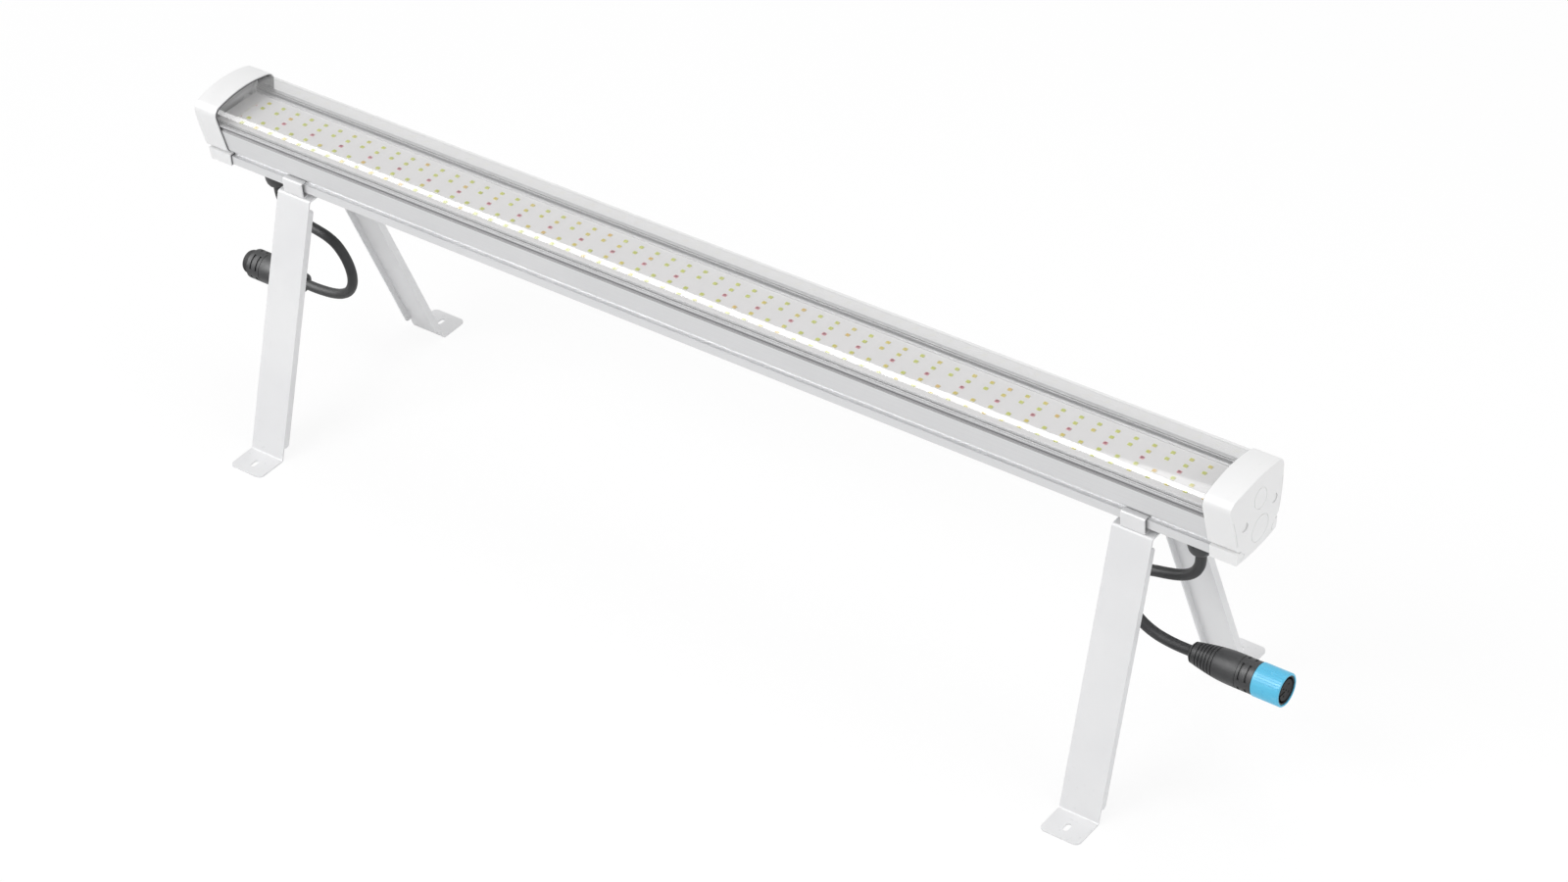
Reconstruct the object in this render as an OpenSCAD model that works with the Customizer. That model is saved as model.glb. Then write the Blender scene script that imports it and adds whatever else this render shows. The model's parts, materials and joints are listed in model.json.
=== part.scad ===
// Bar light for a plant canopy, on two sheet-metal stands that slide along its rail.
// A lead with a plug hangs at the left end and a lead with a socket at the right end.
// Sizes are in millimetres. X runs along the bar, Z is up and the floor is at zero.

/* [Bar] */
// Length of the bar between the shoulders of its end caps
bar_length = 1200; // [1000:10:1500]
// Height of the bar's flat underside above the floor
bar_height = 270; // [220:5:320]

/* [Rail profile] */
// Width of the flange that the clips hold
flange_width = 61; // [58:0.5:64]
// Height of that flange
flange_height = 9.4; // [8:0.1:11]
// Width of the neck above the flange
neck_width = 51.4; // [49:0.1:54]
// Radius that joins the neck and the straight sides
belly_radius = 7; // [6:0.5:8]
// Width of the body where its straight sides start
side_foot_width = 66.4; // [65:0.1:69]
// Height at which the straight sides start
side_foot_height = 19.7; // [18.5:0.1:22]
// Lean of the straight sides from the vertical, in degrees
side_angle = 11.7; // [8:0.1:14]
// Wall of the extrusion
rail_wall = 1.8; // [1.4:0.1:2.4]
// Height of the lip that the cover stands on
lip_height = 50.6; // [49:0.1:53]
// Thickness of that lip
lip_thickness = 1.6; // [1.2:0.1:2]
// Depth of the shadow groove under the lip, from the lip's edge
lip_depth = 2.6; // [1.8:0.1:3.2]
// Height of the shadow groove
groove_height = 4.6; // [3:0.1:5.5]
// Width of the channel that takes the cover's tongue
channel_width = 1.6; // [1.4:0.1:2.2]
// Depth of that channel
channel_depth = 4.2; // [3:0.1:4.6]
// Wall on each side of the channel
channel_wall = 1.2; // [0.9:0.1:1.6]
// Height of the shelf that carries the boards
shelf_height = 45.4; // [44:0.1:46.2]
// Thickness of that shelf
shelf_thickness = 2; // [1.5:0.1:3]
// Rib that traps the edge of a board
board_rib = 1.2; // [0.9:0.1:1.5]

/* [Cover] */
// Height of the cover's crown above the underside
profile_height = 73; // [71:0.5:78]
// Radius of the crown
crown_radius = 138; // [110:1:220]
// Radius of the two shoulders
shoulder_radius = 8; // [6:0.5:10]
// Wall of the cover
cover_wall = 2; // [1.5:0.1:2.6]
// Thickness of the foot that stands on the lip
cover_foot = 2; // [1.5:0.1:3]
// Shadow gap between the cover and the lip
cover_gap = 0.4; // [0.1:0.1:0.8]

/* [End caps] */
// Length of the cap's skirt along the bar
cap_skirt_length = 27.1; // [22:0.1:34]
// Wall of the skirt
cap_wall = 1.3; // [1.2:0.1:2.2]
// Depth from the shoulder to the rim that presses the gasket
cap_end_depth = 8; // [7:0.5:10]
// Wall of the end face
cap_face_wall = 3; // [2.4:0.1:4]
// Width of the rim that presses the gasket
cap_rim = 3.5; // [3:0.1:4.5]
// Rounding round the edge of the end face
cap_edge_radius = 1.5; // [1:0.1:2]
// Rise of the bulged end face
cap_bulge = 4.5; // [3:0.1:5.5]
// Radius of the bulge
cap_bulge_radius = 300; // [260:5:400]
// Height of the bulge's top
cap_bulge_height = 40; // [34:0.5:46]
// Diameter of the upper knock-out
upper_knockout_d = 20.4; // [16:0.1:22]
// Height of the upper knock-out's centre
upper_knockout_height = 53; // [50:0.5:55]
// Diameter of the lower knock-out
lower_knockout_d = 27.4; // [24:0.1:29]
// Height of the lower knock-out's centre
lower_knockout_height = 20.5; // [18:0.5:22]
// Width of the score line round a knock-out
score_width = 0.6; // [0.4:0.1:1]
// Depth of that score line
score_depth = 0.6; // [0.4:0.1:1]
// Spacing of the two cap screws
cap_screw_spacing = 48; // [44:0.5:50]
// Height of the cap screws
cap_screw_height = 37; // [35:0.5:38]
// Diameter of the well for a screw head
screw_well_d = 9.4; // [8.6:0.1:10]
// Depth of the seat below the shoulder
screw_seat_depth = 5.5; // [5:0.1:6]
// Diameter of a cap screw's head
cap_screw_head_d = 7.6; // [6.8:0.1:8.2]
// Height of that head
cap_screw_head_h = 2.8; // [2:0.1:3]
// Diameter of a cap screw's shank
cap_screw_d = 3.6; // [3:0.1:4]
// Length of a cap screw below its head
cap_screw_length = 20; // [14:1:30]
// Wall of the screw port in the rail
port_wall = 1.9; // [1.4:0.1:2.4]

/* [Gaskets] */
// Thickness of the sleeve round the profile
gasket_sleeve = 0.4; // [0.3:0.1:0.8]
// Thickness of the gasket between the profile and the cap
gasket_face = 2; // [1.5:0.1:2.5]
// Length of sleeve that shows outside the cap
gasket_show = 0.9; // [0.5:0.1:1.5]

/* [Lamp boards] */
// Width of a board
board_width = 60; // [56:0.5:62]
// Thickness of a board
board_thickness = 1.6; // [1:0.1:2]
// Gap between the two boards
board_gap = 1; // [0.5:0.1:2]
// Gap from a board to the end of the rail
board_end_gap = 2; // [1:0.5:4]
// Spacing of the lamp chips along the bar
chip_pitch = 19; // [15:0.5:24]
// Spacing of the rows across the bar
row_pitch = 10; // [8:0.5:11]
// Length of a lamp chip
chip_length = 3.5; // [2.5:0.1:4]
// Width of a lamp chip
chip_width = 2.8; // [2:0.1:3.5]
// Height of a lamp chip
chip_height = 0.7; // [0.5:0.1:1.2]
// Diameter of the phosphor window on a chip
chip_window_d = 2.4; // [1.6:0.1:2.6]

/* [Driver] */
// Length of the driver in the rail
driver_length = 300; // [240:5:420]
// Width of the driver's case
driver_width = 44; // [36:0.5:46]
// Height of the driver's case
driver_height = 26; // [22:0.5:30]
// Width of the base that slides in the flange
driver_base_width = 56; // [50:0.5:56.8]
// Thickness of that base
driver_base = 1.5; // [1:0.1:3]
// Thickness of an end plate
end_plate = 6; // [4:0.5:10]

/* [Glands] */
// Distance from the shoulder of a cap to the gland
gland_inset = 55.5; // [50:0.5:60]
// Diameter of the gland's thread
gland_thread_d = 20; // [19:0.1:21]
// Width across the flats of the gland's hexagon
gland_hex = 24; // [23:0.5:26]
// Height of that hexagon
gland_hex_h = 6; // [5:0.5:7]
// Diameter of the dome nut
gland_dome_d = 24.8; // [23:0.1:26]
// Length of the dome nut
gland_dome_h = 23.5; // [20:0.5:28]
// Diameter of the dome nut's mouth
gland_mouth_d = 15; // [14:0.1:17]
// Diameter of the rubber seal in the gland
gland_seal_d = 13; // [12:0.1:13.6]
// Thickness of the sealing washer
gland_washer_h = 1.5; // [1:0.1:2]
// Thickness of the locknut inside the rail
locknut_h = 5; // [4:0.5:6]
// Length of thread above the rail's underside
gland_stem = 9; // [8.5:0.5:12]

/* [Leads] */
// Diameter of a lead
lead_d = 10.5; // [9:0.1:12]
// Diameter of an inner supply wire
wire_d = 2.6; // [2:0.1:3]
// Diameter of an inner board wire
board_wire_d = 1.8; // [1.2:0.1:2.2]

/* [Connectors] */
// Length of a connector's body, from its boot to the coupling
body_length = 69.3; // [64:0.1:75]
// Diameter of a body at its widest
body_d = 31.2; // [30:0.1:33]
// Diameter at the lead end of the boot
boot_d = 19; // [16:0.1:22]
// Length over which the boot widens
boot_length = 46; // [40:0.5:50]
// Distance from the lead end to the first rib groove
rib_start = 9.5; // [8:0.1:12]
// Spacing of the rib grooves
rib_pitch = 3.6; // [3:0.1:4]
// Width of a groove between ribs
rib_groove = 1.1; // [0.8:0.1:1.6]
// Depth of a groove between ribs
rib_depth = 0.9; // [0.6:0.1:1.2]
// Distance from the lead end to the seam ring
seam_at = 52.6; // [51:0.1:54]
// Distance from the lead end to the first grip slot
slot_at = 56.6; // [56:0.1:58]
// Spacing of the two rows of grip slots
slot_pitch = 7.2; // [6:0.1:7.8]
// Width of a grip slot
grip_slot = 2.2; // [1.6:0.1:2.6]
// Depth of a grip slot
grip_depth = 1.2; // [0.8:0.1:1.6]
// Length of the locking ring
ring_length = 28.4; // [26:0.1:31]
// Diameter of the locking ring
ring_d = 32.2; // [31.6:0.1:34]
// Diameter of the sleeve inside the locking ring
sleeve_d = 28; // [27.4:0.1:28.4]
// Diameter of the neck that the ring's lip turns on
ring_neck_d = 26; // [25:0.1:26.6]
// Length of the ring's lip
ring_lip = 3.7; // [3:0.1:4.5]
// Recess of the socket's face in the ring
face_recess = 0.8; // [0.4:0.1:1.5]
// Outer diameter of the plug's shroud
shroud_d = 24.8; // [24:0.1:25]
// Wall of the shroud
shroud_wall = 1.8; // [1.4:0.1:2]
// Length of the shroud outside the plug's body
shroud_length = 9; // [7:0.5:11]
// Depth of the shroud's cavity
shroud_depth = 13; // [12:0.5:15]
// Length of a pin
pin_length = 7.5; // [6:0.5:8]
// Diameter of a pin
pin_d = 1.6; // [1.2:0.1:2]
// Radius of the circle of outer pins
pin_circle_r = 6; // [5:0.1:6.6]

/* [Stands] */
// Distance from the left shoulder to the middle of the left stand
left_stand_inset = 112; // [100:1:300]
// Distance from the right shoulder to the middle of the right stand
right_stand_inset = 104; // [100:1:300]
// Width of a stand along the bar
stand_width = 42; // [36:0.5:46]
// Thickness of the stand's sheet
stand_sheet = 1.6; // [1.2:0.1:2.2]
// Gap between the bar's underside and the stand's bridge
bridge_gap = 6.2; // [6:0.1:8]
// Distance between the two foot bends
foot_spread = 252.4; // [200:1:300]
// Length of a foot from its bend to its tip
foot_length = 33.1; // [26:0.1:40]
// Radius of the bends
stand_bend = 3.4; // [2.6:0.1:4]
// Depth of the stiffening flanges on the legs
leg_flange = 7.8; // [6:0.1:10]
// Distance from the bridge to the start of a flange
leg_flange_start = 9.7; // [8:0.1:16]
// Distance from the foot bend to the end of a flange
leg_flange_end = 13; // [10:0.1:20]
// Chamfer on the free corners of a flange
leg_flange_chamfer = 2.5; // [1:0.1:4]
// Radius of the corners of a foot
foot_corner = 6; // [3:0.5:9]
// Length of the slot in a foot
foot_slot_length = 10; // [8:0.1:13]
// Width of the slot in a foot
foot_slot_width = 5.5; // [4.5:0.1:6.5]
// Distance from the tip of a foot to the middle of its slot
foot_slot_inset = 14.8; // [12:0.1:17]

/* [Rail clips] */
// Width of a clip along the bar
clip_width = 25; // [20:0.5:30]
// Thickness of the clip's spring steel
clip_sheet = 1.5; // [1.2:0.1:1.8]
// Side gap between the flange and the clip's wall
clip_side_gap = 2.2; // [1.5:0.1:2.6]
// Reach of the hook over the flange
clip_reach = 3.5; // [2.5:0.1:4]
// Radius of the clip's bends
clip_bend = 2.4; // [2:0.1:3]
// Distance from the middle to the middle of a raised rest
rest_offset = 20; // [17:0.5:22]
// Width of a raised rest at its top
rest_width = 5; // [4:0.5:7]
// Width of the slope on each side of a rest
rest_slope = 3.5; // [3:0.1:4.5]
// Radius of the bends of a rest
rest_bend = 1.6; // [1.55:0.05:2]
// Diameter of the clip screw
clip_screw_d = 4.9; // [4:0.1:5.4]
// Diameter of its head
clip_screw_head_d = 9; // [8:0.1:10]
// Height of its head
clip_screw_head_h = 2.6; // [2:0.1:3]
// Width across the flats of its nut
clip_nut = 8; // [7.5:0.1:9]
// Height of its nut
clip_nut_h = 4; // [3:0.1:5]
// Length of thread that shows below the nut
clip_screw_tail = 2.5; // [1:0.1:5]

/* [Hidden] */

// Overrun of every cut past the face it opens
overrun = 1;
// Clearance of a sliding or turning fit, all round
fit = 0.1;
// Clearance between a stand and the rail
slide_gap = 0.3;
// Clearance at each end of the locking ring's lip
ring_gap = 0.2;

// Steps of the arcs in the outlines
belly_steps = 4;
shoulder_steps = 10;
crown_steps = 10;
edge_steps = 4;
bend_steps = 4;
// Fineness of the round parts
$fn = 48;

// Places along the bar, worked out from the sizes above
shoulder_x = bar_length / 2;
rim_x = shoulder_x - cap_end_depth;
rail_x = rim_x - gasket_face;
skirt_x = shoulder_x - cap_skirt_length;
cap_edge_x = shoulder_x + cap_bulge - cap_bulge_radius + fit
    + sqrt(pow(cap_bulge_radius, 2) - pow(profile_height - cap_bulge_height, 2));
gland_x = shoulder_x - gland_inset;
left_stand_x = -shoulder_x + left_stand_inset;
right_stand_x = shoulder_x - right_stand_inset;

// Heights and half widths of the profile
belly_y = side_foot_width / 2 - belly_radius * cos(side_angle);
belly_z = side_foot_height + belly_radius * sin(side_angle);
belly_start = -acos((neck_width / 2 - belly_y) / belly_radius);
crown_z = profile_height - crown_radius;
shoulder = shoulder_centre();
crown_end = atan2(shoulder.y - crown_z, shoulder.x);
lip_y = side_at(lip_height);
groove_y = lip_y - lip_depth;
channel_out = groove_y - channel_wall;
channel_in = channel_out - channel_width;
chamber_y = channel_in - channel_wall;
shelf_under = shelf_height - shelf_thickness;
cover_foot_z = lip_height + cover_gap;
board_rib_y = board_width / 2 + fit;
board_rib_top = shelf_height + board_thickness + fit + board_rib;
board_length = rail_x - board_end_gap - board_gap / 2;
board_top = shelf_height + board_thickness;
columns = floor(board_length / chip_pitch);
feed_x = rail_x - board_end_gap - 3 * end_plate;
feed_y = driver_width / 4;
outline = closed(half_outline());

// Half the spacing of the rows of white chips, as counts of the row pitch
white_rows = [-2, -1, 1, 2];

// Height of the raised score that hints at a corner pillar on the cap
pillar_r = flange_height / 2.2;

// Place of the stand's bridge and feet
bridge_z = bar_height - bridge_gap;
bridge_half = flange_width / 2 + clip_side_gap + clip_sheet;
foot_bend_y = foot_spread / 2;
foot_tip_y = foot_bend_y + foot_length;
leg_angle = atan2(foot_bend_y - bridge_half, bridge_z - stand_sheet);
leg_length = norm([foot_bend_y - bridge_half, bridge_z - stand_sheet]);

// Heights on the gland, from the bar's underside down
gland_hex_z = -gland_washer_h - gland_hex_h;
gland_mouth_z = gland_hex_z - gland_dome_h;
gland_thread_below = gland_dome_h / 3;

// Route of the left lead from its gland's mouth, as places along the bar and heights
left_route = [
    [0, 0], [0, -8], [1.5, -16.5], [6, -25], [13.5, -31.7], [23.5, -36], [35.5, -38.4],
    [47.5, -40.4], [59.5, -43.4], [70, -49], [78, -58], [83.5, -69], [85.8, -81], [84, -93],
    [77.5, -103.5], [67, -110.5], [54.5, -114.4], [42, -116.2], [30, -117], [17.5, -117]
];
// Route of the right lead from its gland's mouth
right_route = [
    [0, 0], [0, -8], [-1.5, -16.5], [-6, -25], [-13.5, -31.7], [-23.5, -36.4], [-35.5, -39.8],
    [-47.5, -42.5], [-56.5, -45.3], [-66.5, -52.5], [-73.7, -62.7], [-77, -74.8],
    [-76, -87.3], [-70.7, -98.6], [-64, -105.5], [-55.5, -111], [-45.5, -114.9],
    [-34.5, -117], [-22.5, -118], [-9.5, -118]
];
lead_sides = 12;
left_end = left_route[len(left_route) - 1];
right_end = right_route[len(right_route) - 1];
lead_start_z = bar_height + gland_mouth_z;
plug_at = [-gland_x + left_end.x, 0, lead_start_z + left_end.y];
socket_at = [gland_x + right_end.x, 0, lead_start_z + right_end.y];

// Counts and angles on the connectors
rib_count = 6;
grip_count = 4;
grip_span = 62;
flute_groups = 3;
flutes_in_group = 7;
flute_step = 9;
pin_count = 4;

// Point at which the shoulder arc, tangent to a side and to the crown, has its centre
function shoulder_centre() =
    let (
        side_distance = side_foot_width / 2 * cos(side_angle) - side_foot_height * sin(side_angle),
        offset_y = (side_distance - shoulder_radius) / cos(side_angle),
        lean = tan(side_angle),
        reach = crown_radius - shoulder_radius,
        half_b = offset_y * lean - crown_z,
        a = 1 + lean * lean,
        c = offset_y * offset_y + crown_z * crown_z - reach * reach,
        z = (-half_b + sqrt(half_b * half_b - a * c)) / a
    )
    [offset_y + lean * z, z];

// Half width of the body's straight side at a height
function side_at(height) = side_foot_width / 2 + (height - side_foot_height) * tan(side_angle);

// Points on an arc, from one angle to another
function arc(centre, radius, from, to, steps) =
    [for (i = [0:steps]) let (a = from + (to - from) * i / steps) centre + radius * [cos(a), sin(a)]];

// The right half of the body's outline, from the flange up to the crown
function half_outline() = concat(
    [[flange_width / 2, 0], [flange_width / 2, flange_height], [neck_width / 2, flange_height]],
    arc([belly_y, belly_z], belly_radius, belly_start, -side_angle, belly_steps),
    arc(shoulder, shoulder_radius, -side_angle, crown_end, shoulder_steps),
    [for (i = [1:crown_steps])
        let (a = crown_end + (90 - crown_end) * i / crown_steps)
        [crown_radius * cos(a), crown_z + crown_radius * sin(a)]]
);

// A half outline and its mirror image, as one closed outline
function closed(half) = concat(half, [for (i = [len(half) - 2:-1:0]) [-half[i].x, half[i].y]]);

// Outward normal of the edge from p to q
function normal(p, q) = let (d = (q - p) / norm(q - p)) [d.y, -d.x];

// A closed outline moved outwards by a distance
function grow(points, distance) = [
    for (i = [0:len(points) - 1])
        let (
            n = len(points),
            before = normal(points[(i + n - 1) % n], points[i]),
            after = normal(points[i], points[(i + 1) % n])
        )
        points[i] + distance * (before + after) / (1 + before * after)
];

// A bent path with each inner corner rounded; radii lists the corners' radii
function rounded(path, radii) = concat(
    [path[0]],
    [for (i = [1:len(path) - 2]) each corner(path[i - 1], path[i], path[i + 1], radii[i - 1])],
    [path[len(path) - 1]]
);

// Points of the arc that rounds the corner at b
function corner(a, b, c, radius) =
    let (
        u = (a - b) / norm(a - b),
        v = (c - b) / norm(c - b),
        half = acos(u * v) / 2,
        middle = (u + v) / norm(u + v),
        centre = b + middle * radius / sin(half),
        start = b + u * radius / tan(half) - centre,
        turn = (u.x * v.y - u.y * v.x) > 0 ? -1 : 1,
        sweep = 180 - 2 * half,
        first = atan2(start.y, start.x)
    )
    [for (i = [0:bend_steps])
        let (a = first + turn * sweep * i / bend_steps) centre + radius * [cos(a), sin(a)]];

// Outline of a sheet that lies along a path, on the right of it
function sheet(path, thickness) =
    let (last = len(path) - 1)
    concat(path, [
        for (i = [last:-1:0])
            let (
                before = normal(path[max(i - 1, 0)], path[max(i, 1)]),
                after = normal(path[min(i, last - 1)], path[min(i + 1, last)])
            )
            path[i] + thickness * (before + after) / (1 + before * after)
    ]);

// A path over the bar and its mirror image, as one path from right to left
function over(half) = concat(half, [for (i = [len(half) - 1:-1:0]) [-half[i].x, half[i].y]]);

// Extrudes a section in Y and Z along the bar
module along(from, to) {
    translate([from, 0, 0]) rotate([90, 0, 90]) linear_extrude(to - from) children();
}

// A section at the height of the bar, along it
module along_bar(from, to) {
    translate([0, 0, bar_height]) along(from, to) children();
}

// Draws its children and their mirror image in a section
module both_sides() {
    children();
    mirror([1, 0]) children();
}

// A rectangle in a section, by its lowest and highest corners
module panel(low, high) {
    translate(low) square(high - low);
}

// Draws its children at the left end of the bar
module at_left() {
    mirror([1, 0, 0]) children();
}

// A round bar that runs along the bar from one place to another
module rod(from, to, radius) {
    translate([from, 0, 0]) rotate([0, 90, 0]) cylinder(r = radius, h = to - from);
}

// A solid through a list of rings, each a place along the bar and an outline
module loft(rings) {
    n = len(rings[0][1]);
    last = len(rings) - 1;
    polyhedron(
        points = [for (ring = rings) for (p = ring[1]) [ring[0], p.x, p.y]],
        faces = concat(
            [[for (j = [0:n - 1]) j]],
            [for (i = [0:last - 1]) for (j = [0:n - 1])
                [i * n + j, (i + 1) * n + j, (i + 1) * n + (j + 1) % n, i * n + (j + 1) % n]],
            [[for (j = [n - 1:-1:0]) last * n + j]]
        )
    );
}

// A round tube along a route in a plane across the bar, with its ends square
module cord(route, diameter, sides) {
    last = len(route) - 1;
    polyhedron(
        points = [for (i = [0:last])
            let (
                d = route[min(i + 1, last)] - route[max(i - 1, 0)],
                t = d / norm(d)
            )
            for (j = [0:sides - 1])
                let (a = 360 * (j + 0.5) / sides)
                [
                    route[i].x - t.y * cos(a) * diameter / 2,
                    sin(a) * diameter / 2,
                    route[i].y + t.x * cos(a) * diameter / 2
                ]],
        faces = concat(
            [[for (j = [0:sides - 1]) j]],
            [for (i = [0:last - 1]) for (j = [0:sides - 1])
                [i * sides + j, (i + 1) * sides + j,
                 (i + 1) * sides + (j + 1) % sides, i * sides + (j + 1) % sides]],
            [[for (j = [sides - 1:-1:0]) last * sides + j]]
        )
    );
}

// Section of the extrusion
module rail_section() {
    difference() {
        intersection() {
            polygon(outline);
            panel([-lip_y, 0], [lip_y, lip_height]);
        }
        intersection() {
            polygon(grow(outline, -rail_wall));
            panel([-lip_y, 0], [lip_y, shelf_under]);
        }
        panel([-chamber_y, shelf_height], [chamber_y, lip_height + overrun]);
        both_sides() panel([channel_in, lip_height - channel_depth], [channel_out, lip_height + overrun]);
        both_sides()
            panel([groove_y, lip_height - lip_thickness - groove_height],
                  [lip_y + overrun, lip_height - lip_thickness]);
    }
    both_sides() {
        panel([board_rib_y, shelf_under], [board_rib_y + board_rib, board_rib_top]);
        panel([board_rib_y - board_rib, board_rib_top - board_rib], [board_rib_y + board_rib, board_rib_top]);
        screw_port();
    }
}

// One port for a cap screw, hanging from the shelf
module screw_port() {
    port_y = cap_screw_spacing / 2;
    port_r = cap_screw_d / 2 + fit;
    difference() {
        union() {
            translate([port_y, cap_screw_height]) circle(port_r + port_wall);
            panel([port_y - port_wall / 2, cap_screw_height],
                  [port_y + port_wall / 2, shelf_height - shelf_thickness / 2]);
        }
        translate([port_y, cap_screw_height]) circle(port_r);
    }
}

// The extruded aluminium body with its shelf, flange and screw ports
module rail_housing() {
    color("lightgray")
    difference() {
        along_bar(-rail_x, rail_x) rail_section();
        for (side = [-1, 1]) {
            translate([side * gland_x, 0, bar_height - overrun])
                cylinder(d = gland_thread_d + 2 * fit, h = rail_wall + 2 * overrun);
            for (y = [-feed_y, feed_y])
                translate([side * feed_x, y, bar_height + shelf_under - overrun])
                    cylinder(d = board_wire_d + 4 * fit, h = shelf_thickness + 2 * overrun);
        }
    }
}

// The clear cover with its feet and the tongues that slide in the rail
module clear_cover() {
    foot_top = cover_foot_z + cover_foot;
    tongue_z = lip_height - channel_depth + fit;
    tongue_in = channel_in + fit;
    tongue_out = channel_out - fit;
    color([0.86, 0.9, 0.93, 0.4])
    along_bar(-rail_x, rail_x)
        difference() {
            intersection() {
                polygon(outline);
                panel([-profile_height, tongue_z], [profile_height, profile_height + overrun]);
            }
            intersection() {
                polygon(grow(outline, -cover_wall));
                panel([-profile_height, foot_top], [profile_height, profile_height]);
            }
            panel([-tongue_in, tongue_z - overrun], [tongue_in, foot_top + fit]);
            both_sides() panel([tongue_out, tongue_z - overrun], [profile_height, cover_foot_z]);
        }
}

// The ball that gives an end face its bulge, smaller by a depth
module face_ball(depth) {
    translate([shoulder_x + cap_bulge - cap_bulge_radius, 0, bar_height + cap_bulge_height])
        sphere(r = cap_bulge_radius - depth, $fn = 4 * $fn);
}

// Outer form of an end cap: a skirt with a rounded edge, cut to the bulged face
module cap_body() {
    skirt = gasket_sleeve + cap_wall;
    far_x = shoulder_x + 2 * cap_bulge;
    intersection() {
        along_bar(skirt_x, far_x + overrun)
            panel([-profile_height, -profile_height], [profile_height, 2 * profile_height]);
        translate([0, 0, bar_height])
            loft(concat(
                [[skirt_x - overrun, grow(outline, skirt)]],
                [for (i = [0:edge_steps])
                    let (a = 90 * i / edge_steps)
                    [cap_edge_x - cap_edge_radius * (1 - sin(a)),
                     grow(outline, skirt - cap_edge_radius * (1 - cos(a)))]],
                [[far_x, grow(outline, skirt - cap_edge_radius)]]
            ));
        face_ball(0);
    }
}

// What a score line takes away, its depth following the bulged face
module score() {
    difference() {
        children();
        face_ball(score_depth);
    }
}

// Score line of a knock-out
module knockout_score(diameter, height) {
    score()
        translate([0, 0, bar_height + height])
            difference() {
                rod(shoulder_x - cap_bulge, shoulder_x + 2 * cap_bulge, diameter / 2);
                rod(shoulder_x - 2 * cap_bulge, shoulder_x + 3 * cap_bulge, diameter / 2 - score_width);
            }
}

// A half-round score line at the end of the flange, like the end of a pillar
module pillar_score() {
    inner = pillar_r - score_width;
    for (side = [-1, 1])
        score()
            translate([0, side * (flange_width / 2 - pillar_r), bar_height + flange_height / 2])
                difference() {
                    rod(shoulder_x - cap_bulge, shoulder_x + 2 * cap_bulge, pillar_r);
                    rod(shoulder_x - 2 * cap_bulge, shoulder_x + 3 * cap_bulge, inner);
                    translate([shoulder_x - 2 * cap_bulge, side > 0 ? 0 : -2 * pillar_r, -pillar_r - overrun])
                        cube([5 * cap_bulge, 2 * pillar_r, 2 * pillar_r + 2 * overrun]);
                }
}

// Fine score lines beside the upright edges of the end face
module edge_score() {
    inset = gasket_sleeve + cap_wall - cap_edge_radius - fit;
    both = side_at(belly_z) - cap_edge_radius;
    score()
        along_bar(shoulder_x - cap_bulge, shoulder_x + 2 * cap_bulge)
            difference() {
                intersection() {
                    polygon(grow(outline, inset));
                    both_sides() panel([both - belly_radius, belly_z], [profile_height, lip_height]);
                }
                polygon(grow(outline, inset - score_width));
            }
}

// A moulded end cap for the right end
module end_cap() {
    boss_r = screw_well_d / 2 + port_wall;
    seat_x = shoulder_x - screw_seat_depth;
    color("whitesmoke")
    difference() {
        union() {
            difference() {
                cap_body();
                along_bar(skirt_x - overrun, rim_x) polygon(grow(outline, gasket_sleeve));
                along_bar(rim_x - overrun, shoulder_x - cap_face_wall) polygon(grow(outline, -cap_rim));
            }
            for (y = [-1, 1] * cap_screw_spacing / 2)
                translate([0, y, bar_height + cap_screw_height])
                    rod(rail_x, shoulder_x - cap_face_wall + fit, boss_r);
        }
        for (y = [-1, 1] * cap_screw_spacing / 2)
            translate([0, y, bar_height + cap_screw_height]) {
                rod(rail_x - overrun, shoulder_x, cap_screw_d / 2 + 2 * fit);
                rod(seat_x, shoulder_x + 2 * cap_bulge, screw_well_d / 2);
            }
        knockout_score(upper_knockout_d, upper_knockout_height);
        knockout_score(lower_knockout_d, lower_knockout_height);
        pillar_score();
        edge_score();
    }
}

// The rubber gasket of the right end: a sleeve round the profile and a face ring
module end_gasket() {
    color("dimgray")
    along_bar(rail_x, rim_x)
        difference() {
            polygon(grow(outline, gasket_sleeve));
            polygon(grow(outline, -rail_wall));
        }
    color("dimgray")
    along_bar(skirt_x - gasket_show, rail_x + fit)
        difference() {
            polygon(grow(outline, gasket_sleeve));
            polygon(outline);
        }
}

// The two screws that hold the right end cap
module cap_screws() {
    seat_x = shoulder_x - screw_seat_depth;
    socket_d = cap_screw_head_d / 2;
    color("silver")
    for (y = [-1, 1] * cap_screw_spacing / 2)
        translate([0, y, bar_height + cap_screw_height])
            difference() {
                union() {
                    rod(seat_x - cap_screw_length, seat_x + fit, cap_screw_d / 2);
                    rod(seat_x, seat_x + cap_screw_head_h, cap_screw_head_d / 2);
                }
                translate([seat_x + cap_screw_head_h / 2, 0, 0]) rotate([0, 90, 0])
                    cylinder(d = socket_d, h = cap_screw_head_h, $fn = 6);
            }
}

// One lamp board, to the right of the middle
module led_board() {
    color("white")
    difference() {
        translate([board_gap / 2, -board_width / 2, bar_height + shelf_height])
            cube([board_length, board_width, board_thickness]);
        for (y = [-feed_y, feed_y])
            translate([feed_x, y, bar_height + shelf_height - overrun])
                cylinder(d = board_wire_d + 4 * fit, h = board_thickness + 2 * overrun);
    }
}

// Count of a column along the whole bar, from its left end
function place(side, column) = side > 0 ? columns + column : columns - 1 - column;

// Whether the chip at a place and row has the warmer phosphor
function is_warm(at, row) = (5 * at + 3 * row + 14) % 12 == 3;

// One lamp chip with its round window
module chip() {
    translate([-chip_length / 2, -chip_width / 2, 0]) cube([chip_length, chip_width, chip_height]);
    cylinder(d = chip_window_d, h = chip_height + fit, $fn = 16);
}

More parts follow.
